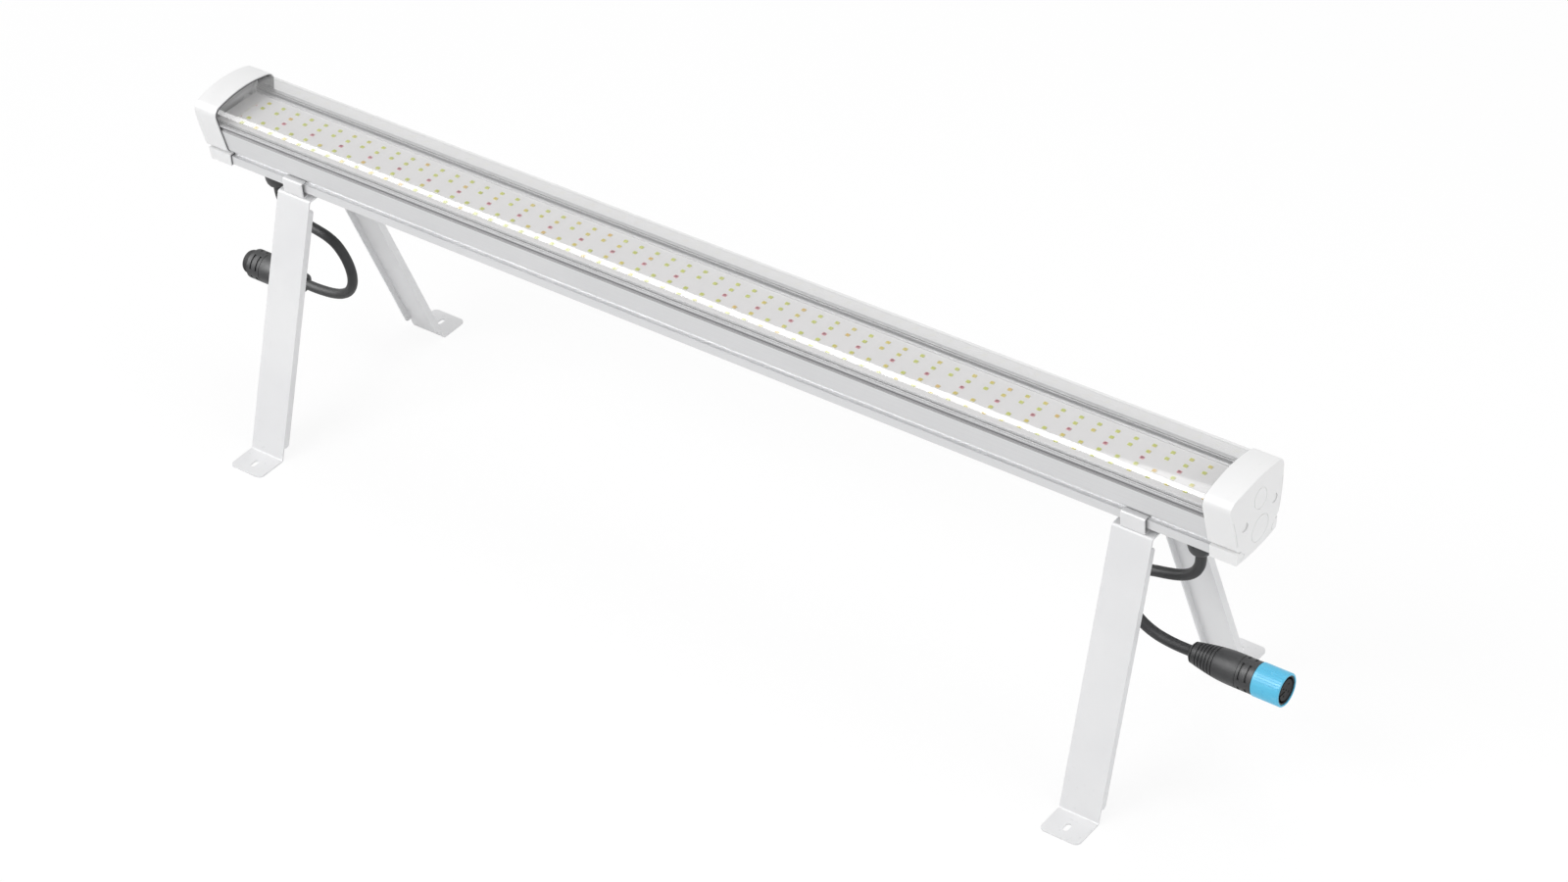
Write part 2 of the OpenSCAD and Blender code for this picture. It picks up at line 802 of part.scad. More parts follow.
// The four outer rows of a board on one side, either the warm chips or the others
module white_rows_of(side, warm) {
    for (column = [0:columns - 1]) for (row = white_rows)
        if (is_warm(place(side, column), row) == warm)
            translate([side * (column + 0.5) * chip_pitch, row * row_pitch, bar_height + board_top]) chip();
}

// White chips of one board
module white_leds(side) {
    color("yellowgreen") white_rows_of(side, false);
}

// Warm white chips of one board
module warm_leds(side) {
    color("orange") white_rows_of(side, true);
}

// Red chips along the middle of one board, at every second column
module red_leds(side) {
    color("crimson")
    for (column = [1:2:columns - 3])
        translate([side * (column + 0.5) * chip_pitch, 0, bar_height + board_top]) chip();
}

// The terminal at the outer end of each board
module board_terminals() {
    terminal_width = 2 * feed_y + 2 * end_plate;
    color("white")
    for (side = [-1, 1])
        translate([side * feed_x - end_plate / 2, -terminal_width / 2, bar_height + board_top])
            cube([end_plate, terminal_width, end_plate / 2]);
}

// The driver's case, whose base slides in the hollow of the flange
module driver_case() {
    base_z = bar_height + rail_wall;
    half = driver_length / 2;
    color("gainsboro") {
        translate([-half, -driver_base_width / 2, base_z])
            cube([driver_length, driver_base_width, driver_base]);
        translate([-half, -driver_width / 2, base_z]) cube([driver_length, driver_width, driver_height]);
    }
}

// The plastic plates that close the ends of the driver
module driver_end_plates() {
    color("dimgray")
    for (side = [-1, 1])
        translate([side > 0 ? driver_length / 2 : -driver_length / 2 - end_plate,
                   -driver_width / 2, bar_height + rail_wall])
            cube([end_plate, driver_width, driver_height]);
}

// Supply wires from the right gland to the driver
module supply_wires() {
    start_z = bar_height + gland_stem;
    run_z = bar_height + rail_wall + driver_height / 2;
    plate_x = driver_length / 2 + end_plate;
    lift = (run_z - start_z) / 2;
    color("saddlebrown")
    for (y = [-1, 0, 1] * 1.4 * wire_d)
        translate([0, y, 0])
            cord([
                [gland_x, start_z], [gland_x, start_z + lift],
                [gland_x - 2 * lift, run_z], [plate_x, run_z]
            ], wire_d, 8);
}

// Board wires from the driver to the right board's terminal
module board_wires() {
    run_z = bar_height + rail_wall + 3 * driver_height / 4;
    plate_x = driver_length / 2 + end_plate;
    top_z = bar_height + board_top;
    bend = (top_z - run_z) / 4;
    color("firebrick")
    for (y = [-feed_y, feed_y])
        translate([0, y, 0])
            cord([
                [plate_x, run_z], [feed_x - 2 * bend, run_z], [feed_x, run_z + 2 * bend],
                [feed_x, top_z]
            ], board_wire_d, 8);
}

// Draws its children at the right gland, at the height of the bar's underside
module at_gland() {
    translate([gland_x, 0, bar_height]) children();
}

// A hexagonal prism by its width across the flats
module hexagon(flats, height) {
    cylinder(d = flats / cos(30), h = height, $fn = 6);
}

// Sealing washer between the gland and the rail
module gland_washer() {
    color("black")
    at_gland() translate([0, 0, -gland_washer_h])
        difference() {
            cylinder(d = gland_hex, h = gland_washer_h);
            translate([0, 0, -overrun])
                cylinder(d = gland_thread_d + 2 * fit, h = gland_washer_h + 2 * overrun);
        }
}

// The gland's threaded body
module gland_body() {
    stem_d = gland_thread_d;
    lower_d = gland_dome_d - 5 * fit - gland_dome_d / 4;
    color("black")
    at_gland() difference() {
        union() {
            translate([0, 0, gland_hex_z]) hexagon(gland_hex, gland_hex_h);
            translate([0, 0, gland_hex_z]) cylinder(d = stem_d, h = gland_stem - gland_hex_z);
            translate([0, 0, gland_hex_z - gland_thread_below])
                cylinder(d = lower_d, h = gland_thread_below + fit);
        }
        translate([0, 0, gland_mouth_z])
            cylinder(d = gland_seal_d + 2 * fit, h = 2 * gland_dome_h + gland_stem);
    }
}

// Locknut inside the rail
module gland_locknut() {
    color("black")
    at_gland() translate([0, 0, rail_wall])
        difference() {
            hexagon(gland_hex, locknut_h);
            translate([0, 0, -overrun])
                cylinder(d = gland_thread_d + 2 * fit, h = locknut_h + 2 * overrun);
        }
}

// The dome nut that squeezes the seal onto the lead
module gland_dome() {
    lower_d = gland_dome_d - 5 * fit - gland_dome_d / 4;
    straight = gland_dome_h / 2;
    nose = gland_dome_h - straight;
    reach = (gland_dome_d - gland_mouth_d) / 2;
    color("black")
    at_gland() difference() {
        translate([0, 0, gland_mouth_z]) rotate_extrude()
            polygon(concat(
                [[0, 0]],
                [for (i = [0:edge_steps])
                    let (a = 90 * i / edge_steps)
                    [gland_mouth_d / 2 + reach * sin(a), nose * (1 - cos(a))]],
                [[gland_dome_d / 2, gland_dome_h], [0, gland_dome_h]]
            ));
        translate([0, 0, gland_hex_z - gland_thread_below - fit])
            cylinder(d = lower_d + 2 * fit, h = gland_thread_below + 2 * overrun);
        translate([0, 0, gland_mouth_z - overrun])
            cylinder(d = gland_seal_d + 2 * fit, h = gland_dome_h);
        for (i = [0:11])
            rotate([0, 0, 30 * i]) translate([gland_dome_d / 2, 0, gland_mouth_z + nose])
                cylinder(d = rib_groove, h = gland_dome_h, $fn = 16);
    }
}

// Rubber seal round the lead, through the whole gland
module gland_seal() {
    color("black")
    at_gland() translate([0, 0, gland_mouth_z])
        cylinder(d = gland_seal_d, h = gland_stem - gland_mouth_z);
}

// The lead that hangs at the left end
module lead_left() {
    color("black") translate([-gland_x, 0, lead_start_z]) cord(left_route, lead_d, lead_sides);
}

// The lead that hangs at the right end
module lead_right() {
    color("black") translate([gland_x, 0, lead_start_z]) cord(right_route, lead_d, lead_sides);
}

// Radius of a connector's body at a distance from its lead end
function body_r(s) = s >= boot_length ? body_d / 2
    : boot_d / 2 + (body_d - boot_d) / 2 * sin(90 * s / boot_length);

// A ring cut round a connector's axis at a distance from its lead end
module ring_cut(at, width, depth, span) {
    outer = body_d / 2 + overrun;
    rotate([0, 90, 0])
        rotate_extrude(angle = span)
            translate([body_r(at) - depth, at - width / 2]) square([outer, width]);
}

// Moulded body of a connector, along X from its lead end, up to a length
module connector_body(length) {
    nose = boot_d / 8;
    difference() {
        rotate([0, 90, 0]) rotate_extrude()
            polygon(concat(
                [[0, 0], [boot_d / 2 - nose, 0]],
                [for (i = [1:8])
                    let (s = nose + (boot_length - nose) * (i - 1) / 7)
                    [body_r(s), s]],
                [[body_d / 2, length], [0, length]]
            ));
        ring_cut(rib_start / 2.6, rib_groove, rib_depth, 360);
        for (i = [0:rib_count - 1]) ring_cut(rib_start + i * rib_pitch, rib_groove, rib_depth, 360);
        ring_cut(seam_at, rib_groove / 2, rib_depth / 2, 360);
        for (row = [0, 1]) for (i = [0:grip_count - 1])
            rotate([360 * (i + 0.5) / grip_count - grip_span / 2, 0, 0])
                ring_cut(slot_at + row * slot_pitch, grip_slot, grip_depth, grip_span);
    }
}

// Body of the plug on the left lead, with its axis pointing left
module plug_body() {
    seat_d = shroud_d - 2 * shroud_wall;
    color("black")
    translate(plug_at) mirror([1, 0, 0]) difference() {
        connector_body(body_length);
        rod(body_length - shroud_depth + shroud_length, body_length + overrun, shroud_d / 2);
    }
}

// The shroud round the plug's pins, seated in the plug's body
module plug_shroud() {
    back = body_length - shroud_depth + shroud_length;
    front = body_length + shroud_length;
    rounding = shroud_wall / 2;
    color([0.12, 0.12, 0.13])
    translate(plug_at) mirror([1, 0, 0]) difference() {
        rotate([0, 90, 0]) rotate_extrude()
            polygon([
                [0, back], [shroud_d / 2, back], [shroud_d / 2, front - 2 * rounding],
                [shroud_d / 2 - rounding, front], [0, front]
            ]);
        rod(back + shroud_wall, front + overrun, shroud_d / 2 - shroud_wall);
    }
}

// The pins inside the plug's shroud
module plug_pins() {
    floor_x = body_length - shroud_depth + shroud_length + shroud_wall;
    color("gold")
    translate(plug_at) mirror([1, 0, 0]) {
        rod(floor_x, floor_x + pin_length, pin_d / 2);
        for (i = [0:pin_count - 1])
            rotate([360 * i / pin_count + 45, 0, 0]) translate([0, pin_circle_r, 0])
                rod(floor_x, floor_x + pin_length, pin_d / 2);
    }
}

// The sealing ring at the root of the plug's shroud
module plug_seal() {
    color("orangered")
    translate(plug_at) mirror([1, 0, 0]) difference() {
        rod(body_length, body_length + shroud_wall, shroud_d / 2 + shroud_wall / 2);
        rod(body_length - overrun, body_length + shroud_wall + overrun, shroud_d / 2);
    }
}

// Place of the socket's face along its axis
socket_face = body_length + ring_gap + ring_length - face_recess;

// Body of the socket on the right lead, with the neck and sleeve for the locking ring
module socket_body() {
    sleeve_x = body_length + ring_gap + ring_lip + ring_gap;
    bore = shroud_d / 2 + 2 * fit;
    color("black")
    translate(socket_at) difference() {
        union() {
            connector_body(body_length);
            rod(body_length - overrun, socket_face - fit, ring_neck_d / 2);
            rod(sleeve_x, socket_face, sleeve_d / 2);
        }
        rod(socket_face - shroud_depth, socket_face + overrun, bore);
    }
}

// The insert that carries the socket's contacts, with a keyway
module socket_insert() {
    radius = shroud_d / 2 - shroud_wall - 2 * fit;
    back = socket_face - shroud_depth;
    key = shroud_wall;
    color([0.1, 0.1, 0.11])
    translate(socket_at) difference() {
        union() {
            rod(back, socket_face, radius);
            rod(back, back + shroud_wall, shroud_d / 2);
        }
        rod(socket_face - pin_length, socket_face + overrun, pin_d / 2 + 2 * fit);
        for (i = [0:pin_count - 1])
            rotate([360 * i / pin_count + 45, 0, 0]) translate([0, pin_circle_r, 0])
                rod(socket_face - pin_length, socket_face + overrun, pin_d / 2 + 2 * fit);
        translate([socket_face - key, -radius - overrun, -key / 2])
            cube([key + overrun, radius - pin_d, key]);
    }
}

// The metal sleeves at the bottom of the socket's holes
module socket_contacts() {
    from = socket_face - pin_length;
    to = socket_face - pin_length / 3;
    color("gold")
    translate(socket_at) {
        contact(from, to);
        for (i = [0:pin_count - 1])
            rotate([360 * i / pin_count + 45, 0, 0]) translate([0, pin_circle_r, 0]) contact(from, to);
    }
}

// One metal sleeve in its hole
module contact(from, to) {
    difference() {
        rod(from, to, pin_d / 2 + fit);
        rod(from - overrun, to + overrun, pin_d / 4);
    }
}

// The fluted ring that turns on the socket to lock it to the next bar's plug
module locking_ring() {
    back = body_length + ring_gap;
    front = back + ring_length;
    lead_in = ring_gap * 3;
    color("deepskyblue")
    translate(socket_at) difference() {
        rotate([0, 90, 0]) rotate_extrude()
            polygon([
                [ring_neck_d / 2 + fit, back], [ring_d / 2 - lead_in, back], [ring_d / 2, back + lead_in],
                [ring_d / 2, front - lead_in], [ring_d / 2 - lead_in, front], [sleeve_d / 2 + fit, front],
                [sleeve_d / 2 + fit, back + ring_lip], [ring_neck_d / 2 + fit, back + ring_lip]
            ]);
        for (group = [0:flute_groups - 1]) for (i = [0:flutes_in_group - 1])
            rotate([360 * group / flute_groups + flute_step * i, 0, 0]) translate([0, ring_d / 2, 0])
                rod(back + ring_lip, front + overrun, 3 * fit);
    }
}

// Outer face of the stand, from the tip of one foot over the bridge to the other
function stand_path() = rounded(
    over([[foot_tip_y, stand_sheet], [foot_bend_y, stand_sheet], [bridge_half, bridge_z]]),
    [stand_bend - stand_sheet, stand_bend, stand_bend, stand_bend - stand_sheet]
);

// A place on a leg, by its distance down the leg and its depth from the outer face
function on_leg(down, depth) =
    [bridge_half, bridge_z]
    + down * [sin(leg_angle), -cos(leg_angle)]
    - depth * [cos(leg_angle), sin(leg_angle)];

// Outline of the stiffening flange of one leg
function leg_flange_outline() =
    let (
        start = leg_flange_start,
        end = leg_length - leg_flange_end,
        c = leg_flange_chamfer
    )
    [
        on_leg(start, stand_sheet / 2), on_leg(start, leg_flange - c), on_leg(start + c, leg_flange),
        on_leg(end - c, leg_flange), on_leg(end, leg_flange - c), on_leg(end, stand_sheet / 2)
    ];

// Plan of a stand, with the corners of its feet rounded
module stand_plan() {
    half = stand_width / 2;
    inner = half - foot_corner;
    square([2 * inner, 2 * foot_tip_y], center = true);
    square([stand_width, 2 * (foot_tip_y - foot_corner)], center = true);
    for (x = [-inner, inner]) for (y = [-1, 1] * (foot_tip_y - foot_corner))
        translate([x, y]) circle(foot_corner);
}

// A bent sheet-metal stand, about the middle of its width
module stand() {
    half = stand_width / 2;
    slot_y = foot_tip_y - foot_slot_inset;
    slot_half = (foot_slot_length - foot_slot_width) / 2;
    color("gainsboro")
    difference() {
        union() {
            intersection() {
                along(-half, half) polygon(sheet(stand_path(), -stand_sheet));
                translate([0, 0, -overrun]) linear_extrude(bar_height) stand_plan();
            }
            for (x = [-half, half - stand_sheet]) along(x, x + stand_sheet)
                both_sides() polygon(leg_flange_outline());
        }
        for (y = [-slot_y, slot_y]) translate([0, y, -overrun]) {
            for (end = [-slot_half, slot_half]) translate([0, end, 0])
                cylinder(d = foot_slot_width, h = stand_sheet + 2 * overrun);
            translate([-foot_slot_width / 2, -slot_half, 0])
                cube([foot_slot_width, 2 * slot_half, stand_sheet + 2 * overrun]);
        }
        translate([0, 0, bridge_z - stand_sheet - overrun])
            cylinder(d = clip_screw_d + 2 * fit, h = stand_sheet + 2 * overrun);
    }
}

// Outer face of the clip's strip, from a hook's tip over the rests to the other tip
function clip_path() =
    let (
        top = bar_height + flange_height + slide_gap + clip_sheet,
        rest = bar_height - slide_gap - clip_sheet,
        rest_half = rest_width / 2,
        hook_y = flange_width / 2 - clip_reach,
        out = rest_offset + rest_half,
        in = rest_offset - rest_half
    )
    over([
        [hook_y, top], [bridge_half, top], [bridge_half, bridge_z], [out + rest_slope, bridge_z],
        [out, rest], [in, rest], [in - rest_slope, bridge_z]
    ]);

// A spring clip that hooks over the flange and carries the bar on two raised rests
module rail_clip() {
    half = clip_width / 2;
    radii_half = [clip_bend, clip_bend, rest_bend, rest_bend, rest_bend, rest_bend];
    radii = concat(radii_half, [for (i = [len(radii_half) - 1:-1:0]) radii_half[i]]);
    color("gainsboro")
    difference() {
        along(-half, half) polygon(sheet(rounded(clip_path(), radii), clip_sheet));
        translate([0, 0, bridge_z - overrun])
            cylinder(d = clip_screw_d + 2 * fit, h = clip_sheet + 2 * overrun);
    }
}

// The screw that holds the clip on the bridge
module clip_screw() {
    seat = bridge_z + clip_sheet;
    tail = bridge_z - stand_sheet - clip_nut_h - clip_screw_tail;
    color("silver")
    difference() {
        union() {
            translate([0, 0, tail]) cylinder(d = clip_screw_d, h = seat - tail + fit);
            translate([0, 0, seat]) cylinder(d = clip_screw_head_d, h = clip_screw_head_h);
        }
        translate([0, 0, seat + clip_screw_head_h / 2])
            cylinder(d = clip_screw_head_d / 2, h = clip_screw_head_h, $fn = 6);
    }
}

// The nut under the bridge
module clip_nut_part() {
    color("silver")
    translate([0, 0, bridge_z - stand_sheet - clip_nut_h])
        difference() {
            hexagon(clip_nut, clip_nut_h);
            translate([0, 0, -overrun]) cylinder(d = clip_screw_d + fit, h = clip_nut_h + 2 * overrun);
        }
}

// Draws its children at a place along the bar
module at_x(x) {
    translate([x, 0, 0]) children();
}

rail_housing();
clear_cover();
at_left() end_cap();  // end_cap_left
end_cap();  // end_cap_right
at_left() end_gasket();  // end_gasket_left
end_gasket();  // end_gasket_right
at_left() cap_screws();  // cap_screws_left
cap_screws();  // cap_screws_right
at_left() led_board();  // led_board_left
led_board();  // led_board_right
white_leds(-1);  // white_leds_left
white_leds(1);  // white_leds_right
warm_leds(-1);  // warm_leds_left
warm_leds(1);  // warm_leds_right
red_leds(-1);  // red_leds_left
red_leds(1);  // red_leds_right
board_terminals();
driver_case();
driver_end_plates();
at_left() supply_wires();  // supply_wires_left
supply_wires();  // supply_wires_right
at_left() board_wires();  // board_wires_left
board_wires();  // board_wires_right
at_left() gland_body();  // gland_body_left
gland_body();  // gland_body_right
at_left() gland_washer();  // gland_washer_left
gland_washer();  // gland_washer_right
at_left() gland_locknut();  // gland_locknut_left
gland_locknut();  // gland_locknut_right
at_left() gland_dome();  // gland_dome_left
gland_dome();  // gland_dome_right
at_left() gland_seal();  // gland_seal_left
gland_seal();  // gland_seal_right
lead_left();
lead_right();
plug_body();  // plug_body_left
plug_shroud();  // plug_shroud_left
plug_pins();  // plug_pins_left
plug_seal();  // plug_seal_left
socket_body();  // socket_body_right
socket_insert();  // socket_insert_right
socket_contacts();  // socket_contacts_right
locking_ring();  // locking_ring_right
at_x(left_stand_x) stand();  // stand_left
at_x(right_stand_x) stand();  // stand_right
at_x(left_stand_x) rail_clip();  // rail_clip_left
at_x(right_stand_x) rail_clip();  // rail_clip_right
at_x(left_stand_x) clip_screw();  // clip_screw_left
at_x(right_stand_x) clip_screw();  // clip_screw_right
at_x(left_stand_x) clip_nut_part();  // clip_nut_left
at_x(right_stand_x) clip_nut_part();  // clip_nut_right
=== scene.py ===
"""Dresses the canopy light: its finishes, its rows of LEDs, its leads and the studio round it."""

import json
import logging
import math
from dataclasses import dataclass
from enum import Enum

import bmesh
import bpy
from mathutils import Matrix, Vector

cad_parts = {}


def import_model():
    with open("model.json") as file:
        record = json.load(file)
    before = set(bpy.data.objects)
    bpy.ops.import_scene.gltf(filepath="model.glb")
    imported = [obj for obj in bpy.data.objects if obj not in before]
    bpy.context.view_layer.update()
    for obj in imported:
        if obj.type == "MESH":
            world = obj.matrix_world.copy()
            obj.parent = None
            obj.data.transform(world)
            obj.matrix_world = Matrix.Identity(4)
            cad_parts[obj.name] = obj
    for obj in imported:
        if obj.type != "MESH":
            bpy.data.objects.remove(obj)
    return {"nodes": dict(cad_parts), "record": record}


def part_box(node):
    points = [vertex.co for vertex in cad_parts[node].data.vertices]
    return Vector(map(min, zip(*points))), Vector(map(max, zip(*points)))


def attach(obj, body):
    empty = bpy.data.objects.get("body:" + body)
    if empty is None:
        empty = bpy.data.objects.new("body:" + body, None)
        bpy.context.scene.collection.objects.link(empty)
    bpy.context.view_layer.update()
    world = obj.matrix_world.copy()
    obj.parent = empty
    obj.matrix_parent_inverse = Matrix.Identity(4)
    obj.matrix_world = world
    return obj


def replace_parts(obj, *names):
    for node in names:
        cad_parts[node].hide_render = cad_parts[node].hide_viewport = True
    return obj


LOG = logging.getLogger("canopy_light")
MM = 0.001
MERGE_WITHIN = 0.002 * MM
FLAT_WITHIN = 0.1

Colour = tuple[float, float, float]
Point = tuple[float, float, float]
Span = tuple[float, float]
Piece = bpy.types.Object
Socket = bpy.types.NodeSocket


class Side(Enum):
    """The two ends of the bar, by the sign of their place along it."""

    LEFT = -1
    RIGHT = 1

    @property
    def word(self) -> str:
        """The side's name as the nodes end in it."""
        return self.name.lower()


class Grain(Enum):
    """The relief that a finish shows up close, as the stretch of its noise in x, y and z."""

    EVEN = (1.0, 1.0, 1.0)
    ALONG_BAR = (0.0006, 1.0, 1.0)


# Finishes


class Nodes:
    """A node tree, with short calls for adding nodes and joining them."""

    def __init__(self, tree: bpy.types.NodeTree) -> None:
        """Take a tree over and empty it."""
        self.tree = tree
        tree.nodes.clear()

    def add(self, kind: str, **values: object) -> bpy.types.Node:
        """Add a node and set or link its inputs.

        Args:
            kind: the node's type.
            values: inputs by name, with underscores for spaces, each a value or a socket.

        Returns:
            The new node.
        """
        node = self.tree.nodes.new(kind)
        for key, value in values.items():
            self.feed(node.inputs[key.replace("_", " ")], value)
        return node

    def feed(self, socket: Socket, value: object) -> None:
        """Link a socket to an input, or set the input's own value.

        Args:
            socket: the input.
            value: an output socket, a number, or a colour of three numbers.
        """
        if isinstance(value, Socket):
            self.tree.links.new(value, socket)
        elif isinstance(value, tuple) and socket.type == "RGBA":
            socket.default_value = (*value, 1.0)
        else:
            socket.default_value = value

    def combine(self, first: object, second: object, operation: str = "ADD") -> Socket:
        """Combine two numbers by an operation of the Math node.

        Args:
            first: a number or socket.
            second: a number or socket.
            operation: the operation's name.

        Returns:
            The result's socket.
        """
        node = self.tree.nodes.new("ShaderNodeMath")
        node.operation = operation
        self.feed(node.inputs[0], first)
        self.feed(node.inputs[1], second)
        return node.outputs[0]

    def times(self, first: object, second: object) -> Socket:
        """The product of two numbers or sockets."""
        return self.combine(first, second, "MULTIPLY")

    def between(
        self, fac: Socket, low: float, high: float, start: float = 0.35, end: float = 0.65
    ) -> Socket:
        """Map a value evenly from start..end to low..high, and hold it there."""
        limits = {"From_Min": start, "From_Max": end, "To_Min": low, "To_Max": high}
        return self.add("ShaderNodeMapRange", Value=fac, **limits).outputs["Result"]


class Palette(Nodes):
    """A material's nodes, with the calls that the finishes share."""

    def __init__(self, name: str) -> None:
        """Start an empty material whose patterns read Object coordinates.

        Args:
            name: the material's name.
        """
        self.material = bpy.data.materials.new(name)
        self.material.use_nodes = True
        super().__init__(self.material.node_tree)
        self.place = self.add("ShaderNodeTexCoord").outputs["Object"]
        self.output = self.add("ShaderNodeOutputMaterial")

    def noise(
        self,
        scale: float,
        detail: float = 4.0,
        stretch: Point = (1.0, 1.0, 1.0),
        place: Socket | None = None,
    ) -> Socket:
        """Noise from 0 to 1, its scale per metre, on stretched coordinates of the object or a map."""
        spot = self.add("ShaderNodeMapping", Vector=place or self.place, Scale=stretch).outputs["Vector"]
        return self.add("ShaderNodeTexNoise", Vector=spot, Scale=scale, Detail=detail).outputs["Fac"]

    def mix(self, fac: object, first: object, second: object) -> Socket:
        """Mix two colours.

        Args:
            fac: how much of the second shows.
            first: a colour or socket.
            second: a colour or socket.

        Returns:
            The mixed colour's socket.
        """
        node = self.tree.nodes.new("ShaderNodeMix")
        node.data_type = "RGBA"
        self.feed(node.inputs[0], fac)
        self.feed(node.inputs[6], first)
        self.feed(node.inputs[7], second)
        return node.outputs[2]

    def blend(self, fac: object, first: bpy.types.Node, second: bpy.types.Node) -> bpy.types.Node:
        """Blend two shaders.

        Args:
            fac: how much of the second shows.
            first: a shader node.
            second: a shader node.

        Returns:
            The blended shader's node.
        """
        node = self.tree.nodes.new("ShaderNodeMixShader")
        self.feed(node.inputs[0], fac)
        self.feed(node.inputs[1], first.outputs[0])
        self.feed(node.inputs[2], second.outputs[0])
        return node

    def bump(self, height: Socket, depth: float) -> Socket:
        """A normal from a height pattern that is depth metres deep."""
        return self.add("ShaderNodeBump", Height=height, Distance=depth, Strength=1.0).outputs["Normal"]

    def axis(self, name: str) -> Socket:
        """The object coordinate X, Y or Z, as a socket."""
        return self.add("ShaderNodeSeparateXYZ", Vector=self.place).outputs[name]

    def done(self, shader: bpy.types.Node) -> bpy.types.Material:
        """Join the last shader to the output and hand the material out."""
        self.tree.links.new(shader.outputs[0], self.output.inputs["Surface"])
        return self.material


class Finish:
    """What a surface is made of."""

    def paint(self, name: str) -> bpy.types.Material:
        """Build the material of that name."""
        p = Palette(name)
        return p.done(self.shader(p))

    def shader(self, p: Palette) -> bpy.types.Node:
        """Lay out the nodes on a palette and return the last shader."""
        raise NotImplementedError


@dataclass(frozen=True)
class Moulded(Finish):
    """Moulded plastic, rubber or powder paint: two close shades, a fine relief and scuffed places."""

    light: Colour
    dark: Colour
    gloss: Span = (0.35, 0.5)
    relief_scale: float = 2600.0
    relief_depth: float = 0.04 * MM
    grain: Grain = Grain.EVEN
    scuff: Colour | None = None
    scuffed_below: float = 0.0
    scuff_share: float = 0.3
    scuff_scale: float = 210.0
    scuff_edge: Span = (0.62, 0.74)
    scuff_left_above: float = 0.12
    scuff_dulls: float = 0.15
    cloud_scale: float = 9.0
    gloss_scale: float = 55.0

    def shader(self, p: Palette) -> bpy.types.Node:
        """Mix the two shades, lay the scuffs over them and press the relief in.

        Args:
            p: the material's palette.

        Returns:
            The last shader node.
        """
        grain = self.grain.value
        colour = p.mix(p.between(p.noise(self.cloud_scale, 3.0), 0.0, 1.0), self.light, self.dark)
        rough = p.between(p.noise(self.gloss_scale, 5.0, grain), *self.gloss)
        if self.scuff is not None:
            marks = p.between(p.noise(self.scuff_scale, 6.0, grain), 0.0, self.scuff_share, *self.scuff_edge)
            if self.scuffed_below > 0.0:
                near = p.between(p.axis("Z"), 1.0, self.scuff_left_above, 0.0, self.scuffed_below)
                marks = p.times(marks, near)
            colour = p.mix(marks, colour, self.scuff)
            rough = p.combine(rough, p.times(marks, self.scuff_dulls))
        return p.add(
            "ShaderNodeBsdfPrincipled",
            Base_Color=colour,
            Roughness=rough,
            Normal=p.bump(p.noise(self.relief_scale, 2.0, grain), self.relief_depth),
        )


@dataclass(frozen=True)
class Groove:
    """A band along both sides of the bar, in a groove or on the lip, where painted shade darkens the metal
    and dulls its gloss.
    """

    inner: float
    outer: float
    low: float
    high: float
    # painted shade: a dark colour standing in for the groove's shadow, or dimming the lamps' reflection on
    # the lip
    soot: Colour = (0.24, 0.24, 0.245)
    soft: float = 0.3 * MM

    def inside(self, p: Palette) -> Socket:
        """How far a point lies in the band of painted shade.

        Args:
            p: the material's palette.

        Returns:
            1 in the band, 0 outside it.
        """
        across = p.combine(p.axis("Y"), 0.0, "ABSOLUTE")
        share: object = 1.0
        for value, low, high in ((across, self.inner, self.outer), (p.axis("Z"), self.low, self.high)):
            share = p.times(share, p.between(value, 0.0, 1.0, low - self.soft, low))
            share = p.times(share, p.between(value, 1.0, 0.0, high, high + self.soft))
        return share


@dataclass(frozen=True)
class Metal(Finish):
    """Bare or anodised metal with drawn lines, cloudy gloss, a few bright rubs and bands of painted shade.
    """

    light: Colour
    dark: Colour
    gloss: Span = (0.28, 0.42)
    line_scale: float = 900.0
    line_depth: float = 0.02 * MM
    grain: Grain = Grain.EVEN
    metallic: float = 1.0
    grooves: tuple[Groove, ...] = ()
    cloud_scale: float = 14.0
    shade_edge: Span = (0.38, 0.62)
    rub_scale: float = 160.0
    rub_edge: Span = (0.62, 0.7)
    rub_polish: float = -0.08
    # how much rougher the metal is where the painted shade lies
    soot_dulls: float = 0.4

    def shader(self, p: Palette) -> bpy.types.Node:
        """Shade the metal by its lines and clouds, brighten the rubs and paint shade into its grooves and
        onto its lips.

        Args:
            p: the material's palette.

        Returns:
            The last shader node.
        """
        grain = self.grain.value
        lines = p.noise(self.line_scale, 3.0, grain)
        shade = p.combine(p.times(lines, 0.5), p.times(p.noise(self.cloud_scale), 0.5))
        colour = p.mix(p.between(shade, 0.0, 1.0, *self.shade_edge), self.light, self.dark)
        rubs = p.between(p.noise(self.rub_scale, 6.0, grain), 0.0, self.rub_polish, *self.rub_edge)
        rough = p.combine(p.between(lines, *self.gloss), rubs)
        # Painted shade: the grooves and lips are darkened in colour to stand in for their shadow and to dim
        # the lamps' reflections.
        for band in self.grooves:
            inside = band.inside(p)
            colour = p.mix(inside, colour, band.soot)
            rough = p.combine(rough, p.times(inside, self.soot_dulls))
        return p.add(
            "ShaderNodeBsdfPrincipled",
            Base_Color=colour,
            Metallic=self.metallic,
            Roughness=rough,
            Normal=p.bump(lines, self.line_depth),
        )


